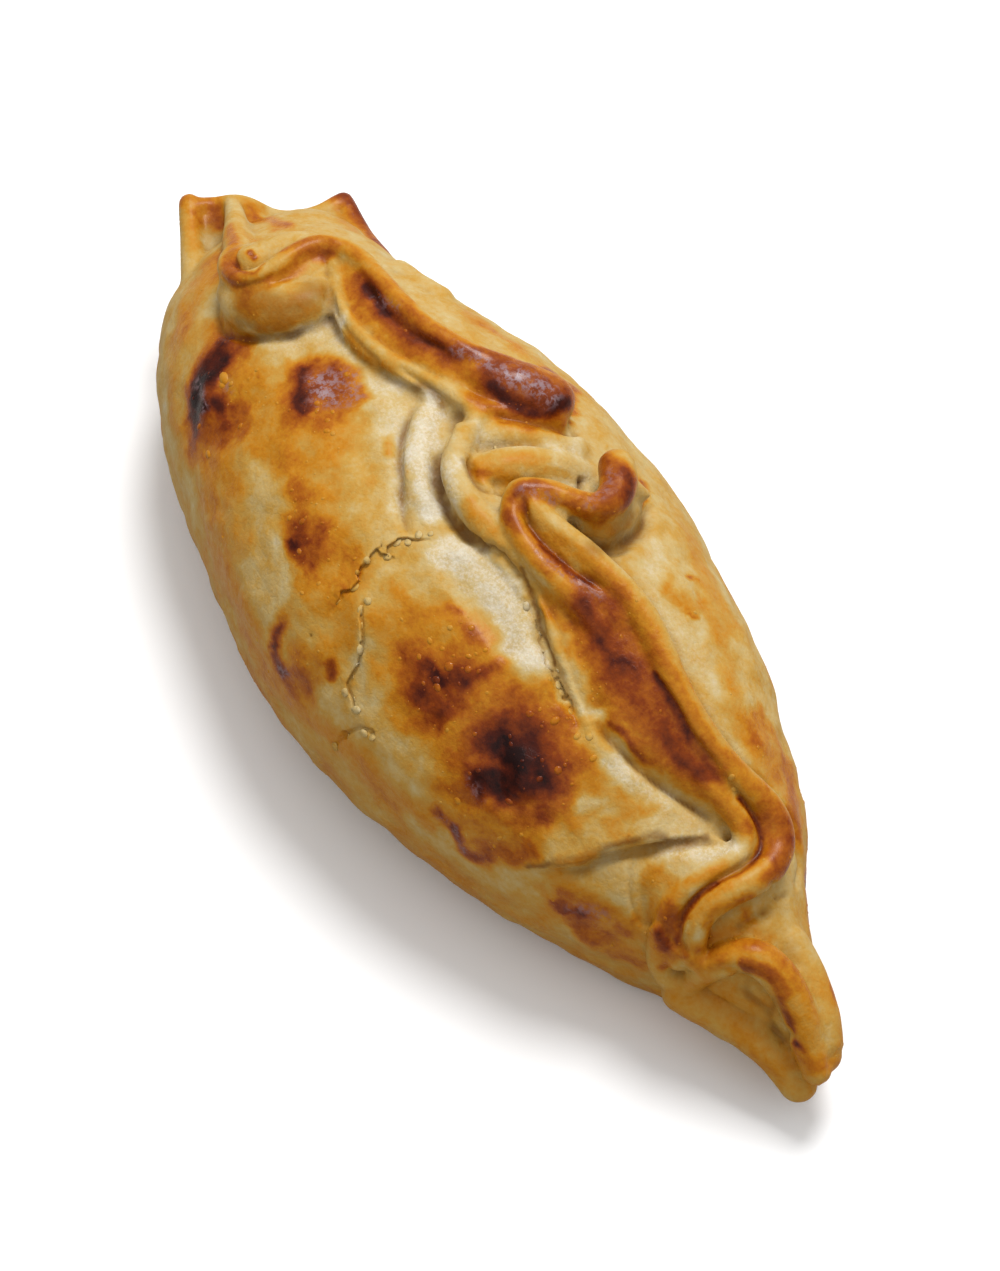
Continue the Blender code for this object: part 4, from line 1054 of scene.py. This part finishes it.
# the tip
dab(0.40, 3.0, (56, -5.5), (61, -3), (66, -1))
dab(0.36, 2.0, (59.5, -1), (62.5, 0.5), (64.5, 1.5))
dab(0.44, 0.8, (58.5, -2), (59.5, -1.5))
dab(0.46, 1.5, (55.5, -5), (57.5, -4))
dab(0.64, 0.7, (60, -0.5), (62.5, 1.5), (67, 1.5))
dab(0.50, 2.4, (55.5, -2), (57.5, 1), (60, 3.5), (64.5, 4.5), (67.5, 4))
dab(0.42, 1.4, (54, 0), (55.5, 2.5), (57.5, 4))
dab(0.48, 1.3, (55, -4), (56.5, -4), (57.5, -2.5))
dab(0.60, 1.0, (59.5, -0.5), (62, 1.5), (64.5, 2), (67.5, 2.5))
dab(0.86, 0.7, (68.5, 1.5), (69.5, 1.5))
dab(0.30, 1.8, (66, 6.5), (69.5, 6))
dab(0.50, 1.5, (68.5, 1), (71.5, 2), (71.5, 5))
dab(0.26, 1.6, (55.5, 6.5), (58.5, 7))
dab(0.40, 1.6, (65.5, 3), (68.5, 3))

# %% [markdown]
# ## Painted sheen, painted crease shade and crests
#
# Three more numbers finish the surface. The **sheen** is a painted violet reflection of the light on the
# most burnt, glossy spots, which also get a little more coat there. The **crease shade** says how deep a
# point lies below its surroundings. It is measured by comparing the crust with a copy that has been
# smoothed flat, and it darkens those points with painted shade, tinted brown. The same comparison finds
# the crests, which brown a little more than the rest.

# %% Painted sheen
# Painted sheen: a violet reflection of the light on the most burnt spots, which also get more coat.
painted_sheen = np.zeros(len(spots))
PAINTED_SHEEN_DABS = (
    (1.0, 2.2, (-29.5, -7), (-26.5, -7.5)), (0.6, 2.0, (-28, -4), (-25, -5)),
    (0.7, 0.7, (-42, -18), (-38, -19), (-37.5, -20)), (0.5, 0.8, (-39.5, -15.5), (-37.5, -15.5)),
    (0.7, 1.1, (-21, 8), (-18.5, 9.5), (-16.5, 10.5)), (1.0, 1.9, (-14.5, 11.5), (-11.5, 14), (-10, 15)),
    (0.5, 0.8, (-34.5, 4.5), (-31, 5.5)), (0.6, 1.2, (-3.5, -28), (-2.5, -28)), (0.4, 0.8, (-0.5, -28.5)),
    (0.5, 0.7, (24.5, -21.5), (26, -21), (28.5, -20.5)), (0.5, 0.9, (2.5, 3.5), (3.5, 5), (5, 6.5)),
    # The thin dab along the left roll's edge is a painted highlight.
    (0.5, 0.5, (10, 1), (13, 2), (15.5, 3.5), (18, 5)), (0.4, 0.9, (7.5, 10), (6.5, 12.5), (4, 15)),
    (0.5, 1.3, (42, -13), (44.5, -11)), (0.4, 0.9, (25, -17.5), (26.5, -17.5)),
)
for painted_sheen_dab in PAINTED_SHEEN_DABS:
    dab(*painted_sheen_dab, on=painted_sheen)

# %% Painted crease shade and crests
only(crust)
bpy.ops.object.duplicate()
flat_copy = bpy.context.active_object
apply(flat_copy, "SMOOTH", factor=1.0, iterations=14)
proud = np.einsum("ij,ij->i", spots - points_of(flat_copy), outward)
bpy.data.objects.remove(flat_copy)
# Painted shade, tinted brown, where a point lies below its smoothed surroundings.
crease_shade = smooth(-proud / 0.55)
crest = smooth(proud / 0.5)
# More painted shade, dabbed under the pocket, the lips and the rolls, and along the ledge and a tear.
CREASE_SHADE_DABS = (
    (0.6, 2.6, (-45.5, -9), (-42.5, -7.5), (-40, -5.5), (-39.5, -3), (-40, -1)),
    (0.5, 1.2, (-43.5, -10.5), (-40.5, -9), (-38.5, -6)),
    (0.9, 0.5, (36, -16), (37.5, -14.5), (39, -11.5), (40.5, -8), (42, -4), (44, -0.5), (45.5, 3)),
    (0.9, 0.4, (9.5, -1), (11, -1), (13, -1.5), (15.5, -2), (18, -2.5), (20.5, -3)),
    (0.5, 0.9, (38.5, -13.5), (40.5, -8.5), (42.5, -4.5), (45, -0.5)),
    (0.5, 1.6, (12.5, 7), (10, 11.5), (8.5, 15)), (0.6, 0.5, (-6.5, 0.5), (-4.5, 0), (-2.5, 0), (-1.5, 1)),
    (0.5, 0.6, (-31, -1.5), (-27, -0.5), (-22.5, 0.5), (-20, 2)),
    (0.8, 0.9, (-20, 2), (-18.5, 3), (-16, 3.5)), (0.6, 0.8, (-37.5, -0.5), (-35, -1)),
    (0.5, 1.6, (-70, -1), (-66.5, -1.5)), (0.5, 0.8, (60, -0.5), (63.5, 1), (66.5, 1.5)),
)
for crease_shade_dab in CREASE_SHADE_DABS:
    dab(*crease_shade_dab, on=crease_shade)
toast += 0.06 * crest * smooth((toast - 0.2) / 0.3)
toast = np.clip(toast, 0, 1)

# %% Keep them on the mesh
def keep(obj, name, values):
    """Stores one number for each point, for the materials to read."""
    layer = obj.data.attributes.new(name, "FLOAT", "POINT")
    layer.data.foreach_set("value", values.astype(np.float32))


keep(crust, "toast", toast)
keep(crust, "painted_sheen", painted_sheen)
keep(crust, "crease_shade", crease_shade)
print("mean toast:", round(float(toast.mean()), 2), "deep creases:", int((crease_shade > 0.5).sum()), "points")

# %% [markdown]
# ## Blisters
#
# Steam lifts the egg-washed skin into hundreds of tiny blisters, thickest around the browned spots.
# Each is a small squashed sphere half sunk in the crust and turned to stand on its surface. They are
# real mesh, since their highlights and shadows are what makes the crust look crisp. To stay light,
# one ball with few faces is copied, and the copies are joined into one piece.

# %% A handful of copies
dice = np.random.default_rng(7)


def scatter(name, shape, places, sizes, squash, sink):
    """Copies of a shape stood on the crust at these point numbers, joined into one piece."""
    pieces = []
    for place, size in zip(places, sizes):
        piece = shape.copy()
        piece.data = shape.data.copy()
        bpy.context.collection.objects.link(piece)
        turn = Vector(outward[place]).to_track_quat("Z", "Y").to_matrix().to_4x4()
        spin = Matrix.Rotation(dice.uniform(0, 2 * math.pi), 4, "Z")
        stretch = dice.uniform(0.8, 1.25)
        scale = Matrix.Diagonal((size * stretch, size / stretch, size * squash, 1))
        spot = Matrix.Translation(Vector(spots[place] - outward[place] * sink * size) * MM)
        piece.matrix_world = spot @ turn @ spin @ scale
        pieces.append(piece)
    bpy.data.objects.remove(shape)
    bpy.ops.object.select_all(action="DESELECT")
    for piece in pieces:
        piece.select_set(True)
    bpy.context.view_layer.objects.active = pieces[0]
    bpy.ops.object.join()
    bpy.ops.object.transform_apply(location=True, rotation=True, scale=True)
    joined = bpy.context.active_object
    joined.name = name
    bpy.ops.object.shade_smooth()
    return joined


def nearest_point(x, y):
    """The number of the crust's point closest to (x, y) on its surface."""
    return int(np.argmin(np.linalg.norm(spots - land(x, y), axis=1)))


# %% Where the blisters sit
LARGE_BLISTERS = (
    (-39.5, -15.5, 0.95), (-38.6, -16.2, 0.5), (-37.8, -15.2, 0.4), (-37.5, -20.5, 0.5), (-33.0, -21.5, 0.6), (-32.0, -17.0, 0.4),
    (-26.5, -9.0, 0.45), (-25.4, -9.6, 0.4), (-22.0, -10.0, 0.45), (-21.0, -9.5, 0.4), (-23.4, -9.0, 0.4), (-28.0, -3.5, 0.5),
    (-13.6, -18.6, 0.5), (-10.6, -20.6, 0.45), (-15.0, -19.4, 0.4),
    (13.5, -15.5, 0.6), (14.0, -14.0, 0.65), (14.8, -16.2, 0.55), (14.5, -11.5, 0.4), (15.5, -12.0, 0.5), (16.5, -11.0, 0.35),
    (10.5, -16.0, 0.4), (9.5, -14.0, 0.45), (12.0, -9.5, 0.45), (11.5, -13.5, 0.35), (10.6, -11.2, 0.4),
    (24.0, -8.5, 0.5), (26.0, -6.5, 0.6), (29.0, -5.0, 0.5), (30.0, -4.0, 0.5), (32.0, -5.0, 0.5), (31.0, -9.0, 0.55),
    (30.5, -11.0, 0.45), (30.0, -15.0, 0.5), (25.0, -19.5, 0.5), (31.5, -17.5, 0.35),
    (42.5, 8.0, 0.5), (43.4, 8.0, 0.4),
)
brown = np.clip(toast - 0.32, 0, None) * np.clip(1.15 - toast, 0, None)
brown *= smooth((broad[:, 1] + 0.25) / 0.4) + 0.15
brown *= spots[:, 2] > 8.0
brown *= np.where(lift > 1.6, 0.15, 1.0)
small_places = dice.choice(len(spots), 460, replace=False, p=brown / brown.sum())
small_sizes = 0.13 + 0.22 * dice.random(460) ** 2.5
large_places = [nearest_point(x, y) for x, y, _ in LARGE_BLISTERS]
places = np.concatenate((large_places, small_places)).astype(int)
sizes = np.concatenate(([size for _, _, size in LARGE_BLISTERS], small_sizes)) * 1.0

# %% The blisters
bpy.ops.object.select_all(action="DESELECT")
bpy.ops.mesh.primitive_uv_sphere_add(segments=10, ring_count=6, radius=MM)
blisters = scatter("blisters", bpy.context.active_object, places, sizes, 0.46, 0.16)
per_blister = len(blisters.data.vertices) // len(places)
keep(blisters, "toast", np.repeat(0.02 + 0.84 * toast[places], per_blister))
print("blisters:", len(places), "with", len(blisters.data.polygons), "faces")

# %% [markdown]
# ## Flakes along the tears
#
# Where the skin tore, little plates of it curl up. Each is a thin disc with a ragged outline, made
# from a circle that is filled, extruded and shaken.

# %% The flakes
flake_places, flake_sizes = [], []
for line in TEARS:
    for place in trace(line, ragged=0.5)[::2]:
        point = place + dice.normal(0, 0.35, 3)
        flake_places.append(int(np.argmin(np.linalg.norm(spots - point, axis=1))))
        flake_sizes.append(dice.uniform(0.25, 0.6))
bpy.ops.object.select_all(action="DESELECT")
bpy.ops.mesh.primitive_circle_add(vertices=9, radius=MM, fill_type="NGON")
flake = bpy.context.active_object
bpy.ops.object.mode_set(mode="EDIT")
bpy.ops.mesh.select_all(action="SELECT")
bpy.ops.mesh.poke()
bpy.ops.mesh.extrude_region_move(TRANSFORM_OT_translate={"value": (0, 0, 0.3 * MM)})
bpy.ops.mesh.select_all(action="SELECT")
bpy.ops.transform.vertex_random(offset=0.22 * MM, seed=4)
bpy.ops.mesh.normals_make_consistent(inside=False)
bpy.ops.object.mode_set(mode="OBJECT")
flakes = scatter("flakes", flake, flake_places, flake_sizes, 0.9, 0.05)
per_flake = len(flakes.data.vertices) // len(flake_places)
keep(flakes, "toast", np.repeat(0.7 * toast[flake_places], per_flake))
print("flakes:", len(flake_places))

# %% [markdown]
# ## The browning in colour
#
# All three pieces brown in the same way, so their colour is worked out once, in a node group. A colour
# ramp turns toast into colour, from floury cream through gold and amber to burnt black. Before the ramp
# noise shifts the toast a little, so that a flat patch still shows mottling. The group gives out plain
# colours and values; the shaders stay in the materials.

# %% Small helpers for node groups
def new_group(name, inputs, outputs):
    """A shader node group with these sockets: (name, type, default) each."""
    group = bpy.data.node_groups.new(name, "ShaderNodeTree")
    for socket, kind, default in inputs:
        item = group.interface.new_socket(socket, in_out="INPUT", socket_type=kind)
        item.default_value = default
    for socket, kind in outputs:
        group.interface.new_socket(socket, in_out="OUTPUT", socket_type=kind)
    return group


class Nodes:
    """Adds and links nodes in one node tree."""

    def __init__(self, tree):
        self.tree = tree

    def add(self, kind, links=None, **settings):
        """One node, with its settings, values and incoming links."""
        node = self.tree.nodes.new(kind)
        for name, value in settings.items():
            setattr(node, name, value)
        for socket, value in (links or {}).items():
            if isinstance(value, bpy.types.NodeSocket):
                self.tree.links.new(value, node.inputs[socket])
            else:
                node.inputs[socket].default_value = value
        return node

    def math(self, operation, a, b=0.0, c=0.0, clamp=False):
        """One sum of a, b and c."""
        return self.add("ShaderNodeMath", {0: a, 1: b, 2: c}, operation=operation, use_clamp=clamp).outputs[0]

    def grain(self, place, size, detail=3.0, rough=0.55):
        """Noise between 0 and 1 whose lumps are about size millimetres wide."""
        links = {"Vector": place, "Scale": 1 / (size * MM), "Detail": detail, "Roughness": rough}
        return self.add("ShaderNodeTexNoise", links).outputs["Fac"]

    def mix(self, factor, a, b, blend="MIX"):
        """Two colours mixed."""
        node = self.add("ShaderNodeMix", {0: factor, 6: a, 7: b}, data_type="RGBA", blend_type=blend)
        return node.outputs[2]

    def steps(self, value, *stops):
        """A colour ramp with (place, colour) stops."""
        ramp = self.add("ShaderNodeValToRGB", {"Fac": value})
        elements = ramp.color_ramp.elements
        while len(elements) < len(stops):
            elements.new(0.5)
        for element, (place, colour) in zip(elements, stops):
            element.position = place
            element.color = (*colour, 1)
        return ramp.outputs["Color"]


def fade(nodes, value, start, end, low_value=0.0, high_value=1.0):
    """Low below start, high above end, and smooth between."""
    links = {"Value": value, 1: start, 2: end, 3: low_value, 4: high_value}
    return nodes.add("ShaderNodeMapRange", links, interpolation_type="SMOOTHSTEP").outputs["Result"]


# %% The browning group
CREAM, STRAW, PALE_GOLD, GOLD = (0.57, 0.49, 0.34), (0.51, 0.37, 0.150), (0.48, 0.270, 0.052), (0.47, 0.185, 0.009)
AMBER, BROWN, DARK, BLACK = (0.35, 0.095, 0.004), (0.20, 0.034, 0.002), (0.065, 0.008, 0.002), (0.012, 0.002, 0.0015)
# The colour of the painted sheen, the light's reflection on burnt skin.
PAINTED_SHEEN_COLOUR = (0.27, 0.17, 0.18)
# The brown tint of the painted shade in creases and hollows.
CREASE_SHADE_TINT = (0.27, 0.135, 0.055)
browning = new_group(
    "browning",
    (("Toast", "NodeSocketFloat", 0.3), ("PaintedSheen", "NodeSocketFloat", 0.0), ("CreaseShade", "NodeSocketFloat", 0.0)),
    (("Color", "NodeSocketColor"), ("Roughness", "NodeSocketFloat"), ("Glaze", "NodeSocketFloat")),
)
nodes = Nodes(browning)
given = nodes.add("NodeGroupInput").outputs
place = nodes.add("ShaderNodeTexCoord").outputs["Object"]
mottle = nodes.math("SUBTRACT", nodes.grain(place, 3.2, 5.0, 0.62), 0.5)
speckle = nodes.math("SUBTRACT", nodes.grain(place, 0.7, 2.0), 0.5)
shifted = nodes.math("MULTIPLY_ADD", mottle, 0.50, given["Toast"])
shifted = nodes.math("MULTIPLY_ADD", speckle, 0.16, shifted)
base = nodes.steps(shifted, (0.0, CREAM), (0.15, STRAW), (0.30, PALE_GOLD), (0.45, GOLD), (0.58, AMBER), (0.71, BROWN),
                   (0.86, DARK), (1.0, BLACK))
floury = fade(nodes, given["Toast"], 0.22, 0.04)
powder = fade(nodes, nodes.grain(place, 0.45, 3.0, 0.7), 0.42, 0.62)
dusted = nodes.mix(nodes.math("MULTIPLY", floury, nodes.math("MULTIPLY", powder, 0.35)), base, (0.74, 0.70, 0.62, 1))
sheen_streaks = fade(nodes, nodes.grain(place, 0.9, 4.0, 0.7), 0.45, 0.60)
# Painted sheen: the burnt spots are mixed towards violet, the way the light's reflection looks on them.
sheen_painted = nodes.mix(nodes.math("MULTIPLY", given["PaintedSheen"], sheen_streaks), dusted, (*PAINTED_SHEEN_COLOUR, 1))
# Painted crease shade: hollows are darkened towards a brown tint.
crease_shaded = nodes.mix(nodes.math("MULTIPLY", given["CreaseShade"], 0.80), sheen_painted, nodes.mix(1.0, sheen_painted, (*CREASE_SHADE_TINT, 1), "MULTIPLY"))
dull = fade(nodes, given["Toast"], 0.10, 0.60, 0.62, 0.30)
roughness = nodes.math("MULTIPLY_ADD", speckle, 0.25, dull, clamp=True)
glaze = nodes.math("MULTIPLY_ADD", given["PaintedSheen"], 0.22, fade(nodes, given["Toast"], 0.15, 0.75, 0.0, 0.15), clamp=True)
nodes.add("NodeGroupOutput", {"Color": crease_shaded, "Roughness": roughness, "Glaze": glaze})
print("browning group:", len(browning.nodes), "nodes")

# %% [markdown]
# ## The grain of the dough
#
# Up close the dough has a skin like fine leather: tiny wrinkles, pores and a floury grain. It is too
# fine for the mesh, so it is a height for the Bump node. Pale dough is wrinkled and floury; browned
# dough has been smoothed by the egg wash, except for its small bubbles.

# %% The grain group
dough_grain = new_group("dough_grain", (("Toast", "NodeSocketFloat", 0.3),), (("Height", "NodeSocketFloat"),))
nodes = Nodes(dough_grain)
given = nodes.add("NodeGroupInput").outputs
place = nodes.add("ShaderNodeTexCoord").outputs["Object"]
bent = nodes.add("ShaderNodeMix", {0: 0.0006, 4: place, 5: nodes.add("ShaderNodeTexNoise", {
    "Vector": place, "Scale": 1 / (2.0 * MM), "Detail": 2.0}).outputs["Color"]}, data_type="VECTOR").outputs[1]
wrinkles = nodes.add("ShaderNodeTexVoronoi", {"Vector": bent, "Scale": 1 / (1.1 * MM)}, feature="DISTANCE_TO_EDGE")
folded = fade(nodes, wrinkles.outputs["Distance"], 0.0, 0.22)
fine = nodes.grain(place, 0.35, 3.0, 0.7)
soft = nodes.grain(place, 1.6, 3.0, 0.6)
pale = fade(nodes, given["Toast"], 0.50, 0.15)
height = nodes.math("MULTIPLY_ADD", nodes.math("MULTIPLY", folded, pale), 0.10, nodes.math("MULTIPLY", soft, 1.0))
height = nodes.math("MULTIPLY_ADD", fine, 0.30, height)
nodes.add("NodeGroupOutput", {"Height": height})
print("grain group:", len(dough_grain.nodes), "nodes")


# %% [markdown]
# ## The materials
#
# The crust, its blisters and its flakes differ only a little. Each has a Principled shader fed by the
# browning group, a Bump fed by the grain group, a coat for the baked egg wash, and a little light that
# sinks in and comes out again, as it does in dough.

# %% Baked dough
def dough_material(name, bump, coat_roughness, with_marks):
    """Baked dough that reads its toast, and on the crust also its painted sheen and painted crease shade, from the
    mesh.
    """
    material = bpy.data.materials.new(name)
    material.use_nodes = True
    nodes = Nodes(material.node_tree)
    shader = material.node_tree.nodes["Principled BSDF"]
    marks = {"Toast": nodes.add("ShaderNodeAttribute", attribute_name="toast").outputs["Fac"]}
    if with_marks:
        marks["PaintedSheen"] = nodes.add("ShaderNodeAttribute", attribute_name="painted_sheen").outputs["Fac"]
        marks["CreaseShade"] = nodes.add("ShaderNodeAttribute", attribute_name="crease_shade").outputs["Fac"]
    look = nodes.add("ShaderNodeGroup", node_tree=browning)
    for socket, value in marks.items():
        material.node_tree.links.new(value, look.inputs[socket])
    grain = nodes.add("ShaderNodeGroup", node_tree=dough_grain)
    material.node_tree.links.new(marks["Toast"], grain.inputs["Toast"])
    relief = nodes.add("ShaderNodeBump", {"Strength": bump, "Distance": 0.2 * MM, "Height": grain.outputs["Height"]})
    links = material.node_tree.links
    links.new(look.outputs["Color"], shader.inputs["Base Color"])
    links.new(look.outputs["Roughness"], shader.inputs["Roughness"])
    links.new(look.outputs["Glaze"], shader.inputs["Coat Weight"])
    links.new(relief.outputs["Normal"], shader.inputs["Normal"])
    shader.inputs["Coat Roughness"].default_value = coat_roughness
    shader.inputs["Specular IOR Level"].default_value = 0.08
    shader.inputs["Subsurface Weight"].default_value = 0.05
    shader.inputs["Subsurface Radius"].default_value = (1.0, 0.5, 0.2)
    shader.inputs["Subsurface Scale"].default_value = 1.2 * MM
    return material


crust.data.materials.clear()
crust.data.materials.append(dough_material("baked_crust", 0.9, 0.22, True))
blisters.data.materials.append(dough_material("blister_skin", 0.4, 0.12, False))
flakes.data.materials.append(dough_material("dry_flakes", 0.8, 0.5, False))

# %% [markdown]
# ## Stand it on its base
#
# The crust was shaped round its own middle. It is now moved so that its box is centred over the
# frame's, and everything below the table is cut off with a bisect, which also closes the hole with a
# flat face, as a baking tray does. The last smoothing round is done before this cut, so that the base
# stays flat.

# %% Centre it and cut the base
spots = points_of(crust)
shift = np.array(((high.x + low.x) / 2 / MM, (high.y + low.y) / 2 / MM, 0.0))
shift[:2] -= (spots[:, :2].max(0) + spots[:, :2].min(0)) / 2
pieces = [crust, blisters, flakes]
for piece in pieces:
    set_points(piece, points_of(piece) + shift)
only(crust)
bpy.ops.object.mode_set(mode="EDIT")
bpy.ops.mesh.select_all(action="SELECT")
bpy.ops.mesh.bisect(plane_co=(0, 0, 0), plane_no=(0, 0, 1), use_fill=True, clear_inner=True)
bpy.ops.object.mode_set(mode="OBJECT")
print("moved by", shift.round(2), "mm")

# %% Hang the pieces on the frame
crust.name = "crust_shell"
for piece in pieces:
    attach(piece, "root")
    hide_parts("crust")

# %% [markdown]
# ## Floor, light and camera
#
# Food looks best in soft light that comes from behind and above, with a little fill from the front, so
# the wash glistens and the folds throw short shadows. The floor is plain and pale.

# %% The floor
def plain_material(name, colour, roughness):
    """A material of one even finish, for what isn't part of the object."""
    material = bpy.data.materials.new(name)
    material.use_nodes = True
    shader = material.node_tree.nodes["Principled BSDF"]
    shader.inputs["Base Color"].default_value = (*colour, 1)
    shader.inputs["Roughness"].default_value = roughness
    return material


bpy.ops.object.select_all(action="DESELECT")
bpy.ops.mesh.primitive_plane_add(size=6)
floor = bpy.context.active_object
floor.name = "floor"
pale_floor = plain_material("pale_floor", (0.92, 0.92, 0.92), 0.8)
nodes = Nodes(pale_floor.node_tree)
seen = nodes.add("ShaderNodeLightPath").outputs["Is Camera Ray"]
tint = nodes.mix(seen, (0.50, 0.48, 0.45, 1), (0.95, 0.95, 0.95, 1))
pale_floor.node_tree.links.new(tint, pale_floor.node_tree.nodes["Principled BSDF"].inputs["Base Color"])
floor.data.materials.append(pale_floor)
floor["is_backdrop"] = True

# %% The lights
def soft_light(name, azimuth, elevation, watts, size, distance=0.9):
    """An area light aimed at the empanada: azimuth 0 is in front of its near side."""
    turn, rise = math.radians(azimuth), math.radians(elevation)
    place = Vector((math.sin(turn) * math.cos(rise), -math.cos(turn) * math.cos(rise), math.sin(rise)))
    bpy.ops.object.light_add(type="AREA", location=place * distance)
    light = bpy.context.active_object
    light.name = name
    light.data.energy = watts
    light.data.shape = "DISK"
    light.data.size = size
    light.rotation_euler = place.to_track_quat("Z", "Y").to_euler()
    return light


soft_light("window", azimuth=215, elevation=66, watts=6.2, size=0.36)
soft_light("fill", azimuth=40, elevation=35, watts=0.8, size=0.9)
world = bpy.data.worlds.new("studio")
world.use_nodes = True
nodes = Nodes(world.node_tree)
toward = nodes.add("ShaderNodeTexCoord").outputs["Generated"]
facing = nodes.add("ShaderNodeVectorMath", {0: toward, 1: (-0.15, 0.25, 0.95)}, operation="DOT_PRODUCT").outputs["Value"]
dome = fade(nodes, facing, -0.3, 1.0, 0.15, 0.86)
seen = nodes.add("ShaderNodeLightPath").outputs["Is Camera Ray"]
strength = nodes.math("MAXIMUM", dome, seen)
world.node_tree.nodes["Background"].inputs["Color"].default_value = (1.0, 1.0, 1.0, 1)
world.node_tree.links.new(strength, world.node_tree.nodes["Background"].inputs["Strength"])
bpy.context.scene.world = world
bpy.context.scene.view_settings.view_transform = "Standard"

# %% The camera
AIM = Vector((3.5, -0.4, 18.0)) * MM + Vector(shift) * MM
turn, rise = math.radians(58.8), math.radians(58)
back = Vector((math.sin(turn) * math.cos(rise), -math.cos(turn) * math.cos(rise), math.sin(rise)))
bpy.ops.object.camera_add(location=AIM + back * 0.45)
camera = bpy.context.active_object
camera.rotation_euler = back.to_track_quat("Z", "Y").to_euler()
camera.data.lens = 101
camera.data.sensor_width = 36
camera.data.clip_start = 0.01
bpy.context.scene.camera = camera
print("camera at", [round(value, 3) for value in camera.location])

# %% [markdown]
# ## The two boxes
#
# The box of what shows is printed beside the frame's own box.

# %% Sizes and finish
sizes = {"cad": [list(corner) for corner in cad_box], "visual": [list(corner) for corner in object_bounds()]}
print("boxes:", sizes)
